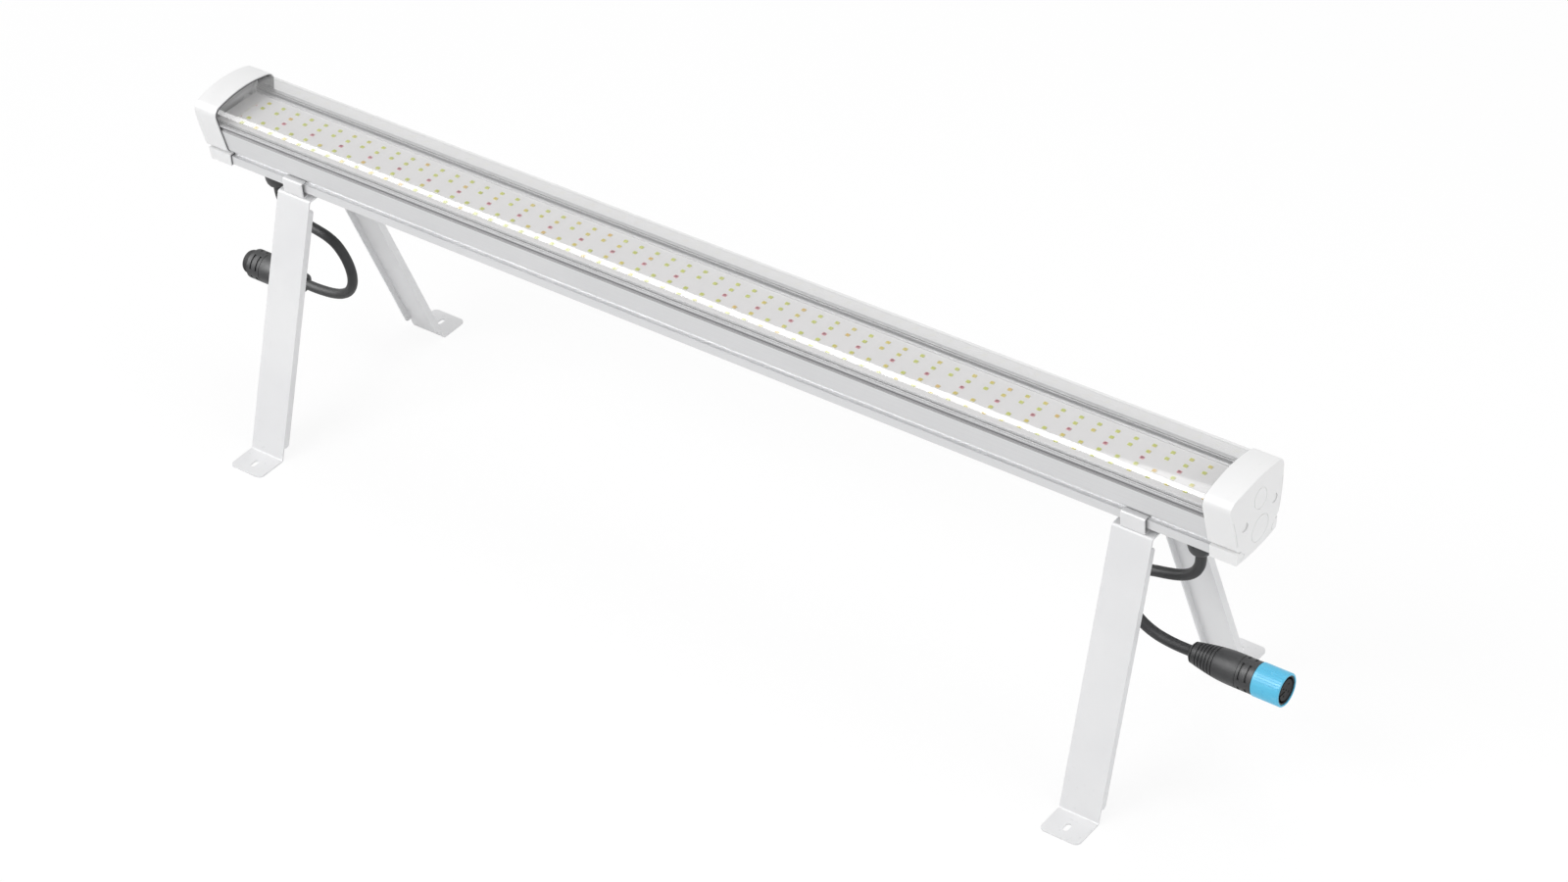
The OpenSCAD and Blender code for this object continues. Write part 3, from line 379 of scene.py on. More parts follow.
@dataclass(frozen=True)
class ClearMoulding(Finish):
    """The clear cover: it hardly bends light, mirrors with its skin and lets the lamps through."""

    tint: Colour = (0.82, 0.82, 0.822)
    edge: Colour = (0.58, 0.57, 0.575)
    edge_from: float = 0.8
    shade: Colour = (0.99, 0.99, 0.99)
    rough: Span = (0.01, 0.03)
    bending: float = 1.02
    skin_bending: float = 1.65
    skin_rough: float = 0.04
    line_scale: float = 420.0
    line_depth: float = 0.001 * MM
    wipe_scale: float = 30.0
    wipe_stretch: Point = (0.2, 1.0, 1.0)

    def shader(self, p: Palette) -> bpy.types.Node:
        """Build the clear body, and let shadow and diffuse rays pass it.

        Args:
            p: the material's palette.

        Returns:
            The last shader node.
        """
        lines = p.noise(self.line_scale, 3.0, Grain.ALONG_BAR.value)
        facing = p.add("ShaderNodeLayerWeight", Blend=0.5).outputs["Facing"]
        clear = p.add(
            "ShaderNodeBsdfPrincipled",
            Base_Color=p.mix(p.between(facing, 0.0, 1.0, self.edge_from, 1.0), self.tint, self.edge),
            Roughness=p.between(p.noise(self.wipe_scale, 5.0, self.wipe_stretch), *self.rough),
            IOR=self.bending,
            Transmission_Weight=1.0,
            Coat_Weight=1.0,
            Coat_Roughness=self.skin_rough,
            Coat_IOR=self.skin_bending,
            Normal=p.bump(lines, self.line_depth),
        )
        lets_through = p.add("ShaderNodeBsdfTransparent", Color=self.shade)
        path = p.add("ShaderNodeLightPath").outputs
        lighting = p.combine(path["Is Shadow Ray"], path["Is Diffuse Ray"], "MAXIMUM")
        return p.blend(lighting, clear, lets_through)


@dataclass(frozen=True)
class SolderMask(Finish):
    """A white board: a matt lacquer with the copper's outlines standing a little proud under it."""

    lacquer: Colour
    over_copper: Colour
    field: Span = (19.0 * MM, 10.0 * MM)
    gap: float = 0.6 * MM
    gloss: Span = (0.48, 0.6)
    gloss_scale: float = 90.0
    sheen: float = 0.3
    cloud_scale: float = 24.0
    cloud_share: float = 0.35
    relief_scale: float = 1500.0
    relief_share: float = 0.2
    relief_depth: float = 0.03 * MM

    def shader(self, p: Palette) -> bpy.types.Node:
        """Lay out the copper's fields and the lacquer's fine relief over them.

        Args:
            p: the material's palette.

        Returns:
            The last shader node.
        """
        fields = p.add(
            "ShaderNodeTexBrick",
            Vector=p.place,
            Scale=1.0,
            Mortar_Size=self.gap,
            Mortar_Smooth=0.2,
            Brick_Width=self.field[0],
            Row_Height=self.field[1],
        )
        fields.offset = 0.0
        gap = fields.outputs["Fac"]
        cloud = p.between(p.noise(self.cloud_scale, 3.0), 0.0, self.cloud_share)
        height = p.combine(p.times(gap, -1.0), p.times(p.noise(self.relief_scale, 2.0), self.relief_share))
        return p.add(
            "ShaderNodeBsdfPrincipled",
            Base_Color=p.mix(gap, p.mix(cloud, self.over_copper, self.lacquer), self.lacquer),
            Roughness=p.between(p.noise(self.gloss_scale), *self.gloss),
            Specular_IOR_Level=self.sheen,
            Normal=p.bump(height, self.relief_depth),
        )


@dataclass(frozen=True)
class Phosphor(Finish):
    """The filling of an LED: a clear skin over a coloured powder, warmer in some chips than in others."""

    deep: Colour
    thin: Colour
    golden: Colour | None = None
    golden_edge: Span = (0.57, 0.61)
    golden_share: float = 0.85
    golden_scale: float = 75.0
    shade_scale: float = 130.0
    speck_scale: float = 5200.0
    speck_depth: float = 0.01 * MM
    gloss: Span = (0.18, 0.32)
    gloss_scale: float = 900.0
    skin_weight: float = 0.4
    skin_rough: float = 0.08

    def shader(self, p: Palette) -> bpy.types.Node:
        """Mix the powder's specks and shades, and warm some of the chips.

        Args:
            p: the material's palette.

        Returns:
            The last shader node.
        """
        powder = p.noise(self.speck_scale, 2.0)
        shade = p.between(p.noise(self.shade_scale, 2.0), 0.0, 0.5)
        colour = p.mix(p.combine(p.between(powder, 0.0, 0.5), shade), self.deep, self.thin)
        if self.golden:
            warm = p.between(p.noise(self.golden_scale, 0.0), 0.0, self.golden_share, *self.golden_edge)
            colour = p.mix(warm, colour, self.golden)
        return p.add(
            "ShaderNodeBsdfPrincipled",
            Base_Color=colour,
            Roughness=p.between(p.noise(self.gloss_scale, 2.0), *self.gloss),
            Coat_Weight=self.skin_weight,
            Coat_Roughness=self.skin_rough,
            Normal=p.bump(powder, self.speck_depth),
        )


@dataclass(frozen=True)
class LeadJacket(Finish):
    """A rubber cable jacket: fine draw lines along it, read from its own map, and a chalky bloom."""

    light: Colour
    dark: Colour
    gloss: Span = (0.42, 0.58)
    line_stretch: Point = (60.0, 2.0, 1.0)
    bloom_scale: float = 40.0
    bloom_edge: Span = (0.42, 0.7)
    bloom_share: float = 0.6
    pore_scale: float = 3000.0
    pore_share: float = 0.4
    relief_depth: float = 0.06 * MM

    def shader(self, p: Palette) -> bpy.types.Node:
        """Lay the draw lines along the jacket and the bloom over them.

        Args:
            p: the material's palette.

        Returns:
            The last shader node.
        """
        own = p.add("ShaderNodeUVMap")
        own.uv_map = "along"
        lines = p.noise(1.0, 3.0, self.line_stretch, own.outputs["UV"])
        bloom = p.between(p.noise(self.bloom_scale, 5.0), 0.0, self.bloom_share, *self.bloom_edge)
        pores = p.times(p.noise(self.pore_scale, 2.0), self.pore_share)
        relief = p.combine(p.times(lines, 1.0 - self.pore_share), pores)
        return p.add(
            "ShaderNodeBsdfPrincipled",
            Base_Color=p.mix(bloom, self.dark, self.light),
            Roughness=p.between(lines, *self.gloss),
            Normal=p.bump(relief, self.relief_depth),
        )


FINISHES: dict[str, Finish] = {
    "anodised_aluminium": Metal(
        (0.68, 0.682, 0.688),
        (0.655, 0.658, 0.665),
        (0.42, 0.5),
        700.0,
        0.000002,
        Grain.ALONG_BAR,
        0.7,
        (
            # Bands of painted shade: the shadow groove under the lip, the cover's slot, the lip's top, its
            # inner wall, its outer edge and the groove's floor.
            Groove(36.8 * MM, 39.5 * MM, 315.2 * MM, 318.8 * MM),
            Groove(34.2 * MM, 35.8 * MM, 316.2 * MM, 320.0 * MM),
            Groove(36.9 * MM, 38.4 * MM, 320.2 * MM, 321.0 * MM, (0.36, 0.36, 0.365)),
            Groove(32.6 * MM, 33.4 * MM, 318.0 * MM, 321.0 * MM, (0.26, 0.26, 0.265)),
            Groove(39.0 * MM, 40.0 * MM, 318.8 * MM, 321.0 * MM, (0.5, 0.5, 0.505)),
            Groove(36.2 * MM, 38.5 * MM, 313.2 * MM, 314.8 * MM, (0.42, 0.42, 0.425)),
        ),
    ),
    "clear_cover": ClearMoulding(),
    "white_cap": Moulded(
        (0.9, 0.9, 0.9), (0.87, 0.872, 0.875), (0.3, 0.42), 1800.0, 0.00003, scuff=(0.8, 0.8, 0.8)
    ),
    "painted_screw": Moulded((0.84, 0.84, 0.84), (0.78, 0.78, 0.785), (0.3, 0.42), scuff=(0.62, 0.62, 0.62)),
    "gasket_rubber": Moulded((0.11, 0.11, 0.115), (0.06, 0.06, 0.065), (0.55, 0.72)),
    "bright_steel": Metal((0.7, 0.7, 0.7), (0.5, 0.5, 0.51), (0.2, 0.34), 1400.0, 0.00001),
    "board_white": SolderMask((0.86, 0.85, 0.848), (0.83, 0.82, 0.82)),
    "chip_yellow_green": Phosphor((0.47, 0.54, 0.02), (0.62, 0.67, 0.07), (0.72, 0.5, 0.03)),
    "chip_orange": Phosphor((0.68, 0.36, 0.015), (0.78, 0.48, 0.05)),
    "chip_red": Phosphor((0.12, 0.006, 0.016), (0.42, 0.02, 0.05)),
    "rim_yellow_green": Phosphor((0.6, 0.64, 0.07), (0.72, 0.74, 0.16), (0.76, 0.66, 0.14)),
    "rim_orange": Phosphor((0.72, 0.54, 0.12), (0.78, 0.62, 0.22)),
    "rim_red": Phosphor((0.74, 0.22, 0.27), (0.78, 0.4, 0.43)),
    "terminal_white": Moulded((0.8, 0.79, 0.75), (0.74, 0.73, 0.69), (0.35, 0.5), 2400.0, 0.00003),
    "driver_aluminium": Metal(
        (0.66, 0.66, 0.66), (0.5, 0.5, 0.51), (0.34, 0.5), 500.0, 0.00003, Grain.ALONG_BAR
    ),
    "driver_plastic": Moulded((0.07, 0.07, 0.072), (0.045, 0.045, 0.047), (0.4, 0.55)),
    "wire_brown": Moulded((0.2, 0.08, 0.035), (0.15, 0.055, 0.025), (0.32, 0.45)),
    "wire_red": Moulded((0.5, 0.03, 0.02), (0.38, 0.02, 0.015), (0.32, 0.45)),
    "gland_rubber": Moulded((0.06, 0.06, 0.062), (0.035, 0.035, 0.037), (0.55, 0.7)),
    "gland_nylon": Moulded((0.05, 0.05, 0.052), (0.03, 0.03, 0.032), (0.38, 0.52), scuff=(0.11, 0.11, 0.11)),
    "lead_rubber": LeadJacket((0.036, 0.0365, 0.038), (0.02, 0.0205, 0.022)),
    "connector_black": Moulded(
        (0.03, 0.0305, 0.032), (0.021, 0.0215, 0.023), (0.4, 0.54), 2200.0, 0.00005, scuff=(0.07, 0.07, 0.07)
    ),
    "insert_black": Moulded((0.012, 0.012, 0.013), (0.007, 0.007, 0.008), (0.7, 0.85)),
    "contact_brass": Metal((0.83, 0.62, 0.28), (0.66, 0.46, 0.18), (0.18, 0.3), 2500.0, 0.000008),
    "seal_orange": Moulded((0.72, 0.2, 0.03), (0.6, 0.15, 0.02), (0.45, 0.6)),
    "ring_blue": Moulded(
        (0.1, 0.56, 0.83), (0.075, 0.49, 0.77), (0.32, 0.46), 2200.0, 0.00004, scuff=(0.3, 0.68, 0.86)
    ),
    "stand_paint": Moulded(
        (0.85, 0.852, 0.858),
        (0.81, 0.812, 0.822),
        (0.34, 0.48),
        1300.0,
        0.00007,
        Grain.EVEN,
        (0.5, 0.5, 0.51),
        0.05,
    ),
    "clip_steel": Moulded(
        (0.85, 0.85, 0.855), (0.81, 0.812, 0.82), (0.28, 0.4), 1300.0, 0.00005, scuff=(0.62, 0.62, 0.63)
    ),
}


class Workshop:
    """Makes each finish once, coats the CAD nodes and puts smooth-shaded copies over them."""

    def __init__(self, nodes: dict[str, Piece], slots: dict[str, str]) -> None:
        """Start with nothing made.

        Args:
            nodes: the frame's nodes.
            slots: each node's material slot.
        """
        self.nodes = nodes
        self.slots = slots
        self.made: dict[str, bpy.types.Material] = {}

    def finish(self, slot: str) -> bpy.types.Material:
        """The material of a slot.

        Args:
            slot: the slot's name in the record.

        Returns:
            The material, made on the first call.
        """
        if slot not in self.made:
            self.made[slot] = FINISHES[slot].paint(slot)
        return self.made[slot]

    def coat(self, obj: Piece, slot: str) -> None:
        """Give an object one finish in all its slots.

        Args:
            obj: the object.
            slot: the slot's name in the record.
        """
        material = self.finish(slot)
        if not obj.material_slots:
            obj.data.materials.append(material)
        for place in obj.material_slots:
            place.material = material

    def coat_carried(self) -> None:
        """Give every CAD node the finish of its slot."""
        for name, node in self.nodes.items():
            self.coat(node, "painted_screw" if name.startswith("cap_screws") else self.slots[name])

    def show(self, piece: Piece, slot: str, body: str, stands_for: str = "") -> Piece:
        """Args:
            piece: the piece.
            slot: its material slot.
            body: the body it rides on.
            stands_for: the CAD node it replaces, if any.

        Returns:
            The piece.
        """
        self.coat(piece, slot)
        declare(piece, body, stands_for)
        return piece

    def dress(
        self, name: str, angle: float, body: str, merged: bool = False, moved: Matrix | None = None
    ) -> Piece:
        """Put a smooth-shaded copy over a CAD node whose curves are built of facets.

        Args:
            name: the node.
            angle: facets that meet at less than this many degrees are smoothed over.
            body: the body the copy rides on.
            merged: whether flat faces in one plane are joined first, for long extruded pieces.
            moved: how the copy is moved against its node, if at all.

        Returns:
            The copy.
        """
        piece = polished(self.nodes[name], f"{name}_dressed", angle, merged)
        if moved is not None:
            piece.data.transform(moved)
        return self.show(piece, self.slots[name], body, name)


def declare(piece: Piece, body: str, stands_for: str = "") -> None:
    """Say what a piece rides on and what it replaces.

    Args:
        piece: the piece.
        body: the body it rides on.
        stands_for: the CAD node it replaces, if any.
    """
    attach(piece, body)
    if stands_for:
        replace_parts(piece, stands_for)
    LOG.info("%s rides on %s", piece.name, body)


# Mesh helpers


def keep(name: str, mesh: bpy.types.Mesh) -> Piece:
    """Put a mesh in the scene.

    Args:
        name: the piece's name.
        mesh: its mesh, already in place.

    Returns:
        The new object.
    """
    obj = bpy.data.objects.new(name, mesh)
    bpy.context.scene.collection.objects.link(obj)
    return obj


def finished(shape: bmesh.types.BMesh, name: str) -> Piece:
    """Turn a built shape into a plain mesh piece and free it.

    Args:
        shape: the shape.
        name: the piece's name.

    Returns:
        The piece.
    """
    mesh = bpy.data.meshes.new(name)
    shape.to_mesh(mesh)
    shape.free()
    return keep(name, mesh)


def settled(obj: Piece, name: str) -> Piece:
    """Turn an object's evaluated shape into a plain mesh piece and drop the object it came from.

    Args:
        obj: the object with its modifiers.
        name: the finished piece's name.

    Returns:
        The finished piece.
    """
    bpy.context.view_layer.update()
    graph = bpy.context.evaluated_depsgraph_get()
    mesh = bpy.data.meshes.new_from_object(obj.evaluated_get(graph), depsgraph=graph)
    mesh.name = name
    old = obj.data
    bpy.data.objects.remove(obj)
    bpy.data.meshes.remove(old)
    return keep(name, mesh)


def polished(node: Piece, name: str, angle: float, merged: bool) -> Piece:
    """A copy of a CAD node whose near-tangent facets shade as one surface.

    Args:
        node: the CAD node, whose mesh brings stale corner normals.
        name: the copy's name.
        angle: facets that meet at less than this many degrees are smoothed over.
        merged: whether flat faces in one plane are joined first, for long extruded pieces.

    Returns:
        The copy, as a piece of its own.
    """
    mesh = node.data.copy()
    mesh.materials.clear()
    mesh.attributes.remove(mesh.attributes["custom_normal"])
    shape = bmesh.new()
    shape.from_mesh(mesh)
    bmesh.ops.remove_doubles(shape, verts=shape.verts, dist=MERGE_WITHIN)
    if merged:
        bmesh.ops.dissolve_limit(
            shape, angle_limit=math.radians(FLAT_WITHIN), verts=shape.verts, edges=shape.edges, delimit=set()
        )
    for face in shape.faces:
        face.smooth = True
        face.material_index = 0
    shape.normal_update()
    for edge in shape.edges:
        edge.smooth = edge.calc_face_angle(math.pi) < math.radians(angle)
    shape.to_mesh(mesh)
    shape.free()
    obj = keep(f"{name}_blank", mesh)
    weighted = obj.modifiers.new("even_shading", "WEIGHTED_NORMAL")
    weighted.mode = "FACE_AREA_WITH_ANGLE"
    weighted.keep_sharp = True
    return settled(obj, name)


# Repeated shapes


class ShapeTree(Nodes):
    """A geometry node tree that puts one small shape on every point of a mesh."""

    def __init__(self, name: str, sizes: dict[str, float]) -> None:
        """Start a tree with named inputs.

        Args:
            name: the tree's name.
            sizes: the inputs' names and values.
        """
        super().__init__(bpy.data.node_groups.new(name, "GeometryNodeTree"))
        self.sizes = sizes
        face = self.tree.interface
        face.new_socket("Geometry", in_out="INPUT", socket_type="NodeSocketGeometry")
        for key in sizes:
            face.new_socket(key, in_out="INPUT", socket_type="NodeSocketFloat")
        face.new_socket("Finish", in_out="INPUT", socket_type="NodeSocketMaterial")
        face.new_socket("Geometry", in_out="OUTPUT", socket_type="NodeSocketGeometry")
        self.given = self.add("NodeGroupInput")
        self.result = self.add("NodeGroupOutput")

    def size(self, name: str) -> Socket:
        """The socket of a named size."""
        return self.given.outputs[name]

    def scaled(self, name: str, factor: float) -> Socket:
        """A named size times a factor."""
        return self.times(self.size(name), factor)

    def vector(self, x: object = 0.0, y: object = 0.0, z: object = 0.0) -> Socket:
        """A vector from three numbers or sockets."""
        return self.add("ShaderNodeCombineXYZ", X=x, Y=y, Z=z).outputs["Vector"]

    def moved(self, geometry: Socket, offset: Socket) -> Socket:
        """Geometry moved by an offset."""
        return self.add("GeometryNodeTransform", Geometry=geometry, Translation=offset).outputs["Geometry"]

    def on_points(self, shape: Socket) -> None:
        """End the tree with the shape on every point.

        Args:
            shape: the small shape.
        """
        points = self.given.outputs["Geometry"]
        placed = self.add("GeometryNodeInstanceOnPoints", Points=points, Instance=shape)
        real = self.add("GeometryNodeRealizeInstances", Geometry=placed.outputs["Instances"])
        coat = self.add("GeometryNodeSetMaterial", Geometry=real.outputs["Geometry"])
        self.feed(coat.inputs["Material"], self.size("Finish"))
        self.feed(self.result.inputs["Geometry"], coat.outputs["Geometry"])

    def grown(self, name: str, points: list[Point], finish: bpy.types.Material) -> Piece:
        """Grow the shape on a list of points.

        Args:
            name: the finished piece's name.
            points: the places, in metres.
            finish: the material.

        Returns:
            The finished piece, as a plain mesh.
        """
        mesh = bpy.data.meshes.new(f"{name}_points")
        mesh.from_pydata(points, [], [])
        obj = keep(f"{name}_seed", mesh)
        growth = obj.modifiers.new("growth", "NODES")
        growth.node_group = self.tree
        for item in self.tree.interface.items_tree:
            if item.in_out == "INPUT" and item.name in self.sizes:
                growth[item.identifier] = self.sizes[item.name]
            elif item.in_out == "INPUT" and item.name == "Finish":
                growth[item.identifier] = finish
        return settled(obj, name)


# The bar


@dataclass
class Bar:
    """The extrusion with its clear cover, end caps, gaskets and the plugs over the cap screws."""

    workshop: Workshop
    smoothed: tuple[tuple[str, float], ...] = (
        ("rail_housing", 24.0),
        ("clear_cover", 40.0),
        ("end_cap_left", 27.0),
        ("end_cap_right", 27.0),
        ("end_gasket_left", 40.0),
        ("end_gasket_right", 40.0),
    )
    merged: tuple[str, ...] = ("rail_housing", "clear_cover")
    well_radius: float = 4.7 * MM
    rim_within: float = 0.1 * MM
    plug_radius: float = 4.5 * MM
    plug_sunk: float = 0.6 * MM
    plug_gap: float = 0.05 * MM
    plug_steps: int = 32
    plug_dome: tuple[Span, ...] = (
        (1.0, 0.55), (0.98, 0.35), (0.94, 0.18), (0.86, 0.08), (0.6, 0.02), (0.0, 0.0),
    )

    def plug(self, name: str, foot: Point, length: float, way: int) -> None:
        """A turned white plug with a low dome, pressed over a cap screw.

        Args:
            name: the piece's name.
            foot: the middle of its inner end.
            length: how long it is.
            way: 1 when it points to the right, -1 to the left.
        """
        shape = bmesh.new()
        points = [(0.0, 0.0), (self.plug_radius, 0.0)]
        points += [(self.plug_radius * across, length - MM * below) for across, below in self.plug_dome]
        chain = [shape.verts.new((way * along, across, 0.0)) for across, along in points]
        for first, second in zip(chain, chain[1:]):
            shape.edges.new((first, second))
        bmesh.ops.spin(
            shape,
            geom=shape.verts[:] + shape.edges[:],
            axis=(1.0, 0.0, 0.0),
            cent=(0.0, 0.0, 0.0),
            angle=math.tau,
            steps=self.plug_steps,
        )
        bmesh.ops.remove_doubles(shape, verts=shape.verts[:], dist=0.001 * MM)
        bmesh.ops.recalc_face_normals(shape, faces=shape.faces[:])
        bmesh.ops.translate(shape, vec=foot, verts=shape.verts[:])
        for face in shape.faces:
            face.smooth = True
        self.workshop.show(finished(shape, name), "white_cap", "bar")

    def plugs(self) -> None:
        """Close the four screw wells of the caps a little below their rims."""
        for side in Side:
            low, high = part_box(f"cap_screws_{side.word}")
            head = (high[2] - low[2]) / 2
            height = (high[2] + low[2]) / 2
            inner = (high[0] if side is Side.RIGHT else -low[0]) + self.plug_gap
            cap = self.workshop.nodes[f"end_cap_{side.word}"]
            points = [cap.matrix_world @ vertex.co for vertex in cap.data.vertices]
            for way, word in ((-1, "front"), (1, "back")):
                across = way * ((high[1] - low[1]) / 2 - head)
                rim = []
                for point in points:
                    off_rim = math.hypot(point.y - across, point.z - height) - self.well_radius
                    if point.x * side.value > inner + MM and abs(off_rim) < self.rim_within:
                        rim.append(abs(point.x))
                length = min(rim) - self.plug_sunk - inner
                foot = (side.value * inner, across, height)
                self.plug(f"screw_plug_{side.word}_{word}", foot, length, side.value)
                LOG.info("screw plug %s %s is %.2f mm long", side.word, word, length / MM)

    def dress(self) -> None:
        """Put smooth-shaded copies over the bar's pieces and close the wells."""
        for name, angle in self.smoothed:
            self.workshop.dress(name, angle, "bar", name in self.merged)
        self.plugs()


@dataclass
class LightEngine:
    """The rows of LEDs on the two boards, each chip a package with its window and two soldered ends."""

    workshop: Workshop
    columns: int = 30
    pitch: float = 19.0 * MM
    rows: tuple[int, ...] = (-2, -1, 1, 2)
    row_pitch: float = 10.0 * MM
    package: Point = (3.9 * MM, 3.4 * MM, 0.7 * MM)
    window: float = 3.0 * MM
    window_sides: int = 12
    window_top: float = 0.92
    window_rise: float = 0.16
    pad: float = 0.3 * MM
    pad_width: float = 0.8
    pad_height: float = 0.3
    red_every: int = 2
    strip_edge: float = 1.0 * MM
    strip_drop: float = 0.05 * MM
    terminal_length: float = 3.0 * MM
    terminal_height: float = 0.5 * MM
    terminal_share: float = 0.25
    terminal_places: tuple[int, ...] = (-1, 0, 1)
    warm_by_column: int = 5
    warm_by_row: int = 3
    warm_from: int = 11
    warm_every: int = 12

    def is_warm(self, at: int, row: int) -> bool:
        """Whether the chip at a place along the bar, in row -2, -1, 1 or 2, is an orange one."""
        return (self.warm_by_column * at + self.warm_by_row * row + self.warm_from) % self.warm_every == 0

    def places(self, side: Side, top: float) -> dict[str, list[Point]]:
        """Where the chips of one board stand.

        Args:
            side: the board's end of the bar.
            top: the height of the board's face.

        Returns:
            The places by the chips' colour.
        """
        found: dict[str, list[Point]] = {"white": [], "warm": [], "red": []}
        for column in range(self.columns):
            x = side.value * (column + 0.5) * self.pitch
            at = self.columns + column if side is Side.RIGHT else self.columns - 1 - column
            for row in self.rows:
                colour = "warm" if self.is_warm(at, row) else "white"
                found[colour].append((x, row * self.row_pitch, top))
            if column % self.red_every == 1 and column < self.columns - 1:
                found["red"].append((x, 0.0, top))
        return found

    def box_tree(self, name: str, length: float, width: float, height: float) -> ShapeTree:
        """The tree of a small block that stands on the board.

        Args:
            name: the tree's name.
            length: the block's size along the bar.
            width: its size across.
            height: its height.

        Returns:
            The tree.
        """
        tree = ShapeTree(name, {"Length": length, "Width": width, "Height": height})
        size = tree.vector(tree.size("Length"), tree.size("Width"), tree.size("Height"))
        box = tree.add("GeometryNodeMeshCube", Size=size).outputs["Mesh"]
        tree.on_points(tree.moved(box, tree.vector(z=tree.scaled("Height", 0.5))))
        return tree

    def window_tree(self) -> ShapeTree:
        """The tree of a chip's filled window, a low dome on the package.

        Returns:
            The tree.
        """
        tree = ShapeTree("led_window", {"Diameter": self.window, "Height": self.package[2]})
        disc = tree.add(
            "GeometryNodeMeshCone",
            Vertices=self.window_sides,
            Side_Segments=1,
            Fill_Segments=1,
            Radius_Top=tree.scaled("Diameter", self.window_top / 2),
            Radius_Bottom=tree.scaled("Diameter", 0.5),
            Depth=tree.scaled("Height", self.window_rise),
        ).outputs["Mesh"]
        tree.on_points(tree.moved(disc, tree.vector(z=tree.size("Height"))))
        return tree

    def strip(self, name: str, slot: str, low: Point, high: Point) -> Piece:
        """A narrow strip with chamfered edges, lying on the bar.

        Args:
            name: the piece's name.
            slot: its material slot.
            low: its lowest corner.
            high: its highest corner.

        Returns:
            The piece.
        """
        shape = bmesh.new()
        bmesh.ops.create_cube(shape, size=1.0)
        bmesh.ops.scale(shape, vec=Vector(high) - Vector(low), verts=shape.verts)
        bmesh.ops.translate(shape, vec=(Vector(high) + Vector(low)) / 2, verts=shape.verts)
        bmesh.ops.bevel(
            shape, geom=shape.edges[:], offset=self.strip_drop * 2, segments=2, affect="EDGES", profile=0.5
        )
        return self.workshop.show(finished(shape, name), slot, "bar")

    def joint(self) -> None:
        """Close the slit between the two boards with a narrow white strip."""
        low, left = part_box("led_board_left")
        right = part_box("led_board_right")[0]
        edge = low[1] + self.strip_edge
        top = left[2] - self.strip_drop
        self.strip("board_joint_strip", "board_white", (left[0], edge, low[2]), (right[0], -edge, top))

    def terminals(self) -> None:
        """Lay the flat solder terminals where the supply wires come up."""
        low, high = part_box("board_terminals")
        top = low[2] + self.terminal_height
        width = high[1] - low[1]
        half = width * self.terminal_share / 2
        for side in Side:
            outer = high[0] if side is Side.RIGHT else low[0] + self.terminal_length
            for place in self.terminal_places:
                middle = place * width / len(self.terminal_places)
                name = f"solder_terminal_{side.word}_{place + 2}"
                reach = (outer - self.terminal_length, middle - half, low[2]), (outer, middle + half, top)
                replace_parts(self.strip(name, "terminal_white", *reach), "board_terminals")

    def build(self) -> None:
        """Grow the chips of both boards and put them over their CAD nodes."""
        self.joint()
        self.terminals()
        length, width, height = self.package
        window = self.window_tree()
        package = self.box_tree("led_package", *self.package)
        pad_sizes = (length + 2 * self.pad, width * self.pad_width, height * self.pad_height)
        pads = self.box_tree("led_pads", *pad_sizes)
        tints = {"white": "yellow_green", "warm": "orange", "red": "red"}
        for side in Side:
            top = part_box(f"led_board_{side.word}")[1][2]
            places = self.places(side, top)
            everywhere = [spot for spots in places.values() for spot in spots]
            for colour, spots in places.items():
                node = f"{colour}_leds_{side.word}"
                for tree, part in ((window, "chip"), (package, "rim")):
                    finish = self.workshop.finish(f"{part}_{tints[colour]}")
                    piece = tree.grown(f"{node}_{part}s", spots, finish)
                    declare(piece, "bar", node)
            piece = pads.grown(f"led_pads_{side.word}", everywhere, self.workshop.finish("bright_steel"))
            declare(piece, "bar")
            LOG.info("%d chips on the %s board", len(everywhere), side.word)


# Leads and connectors


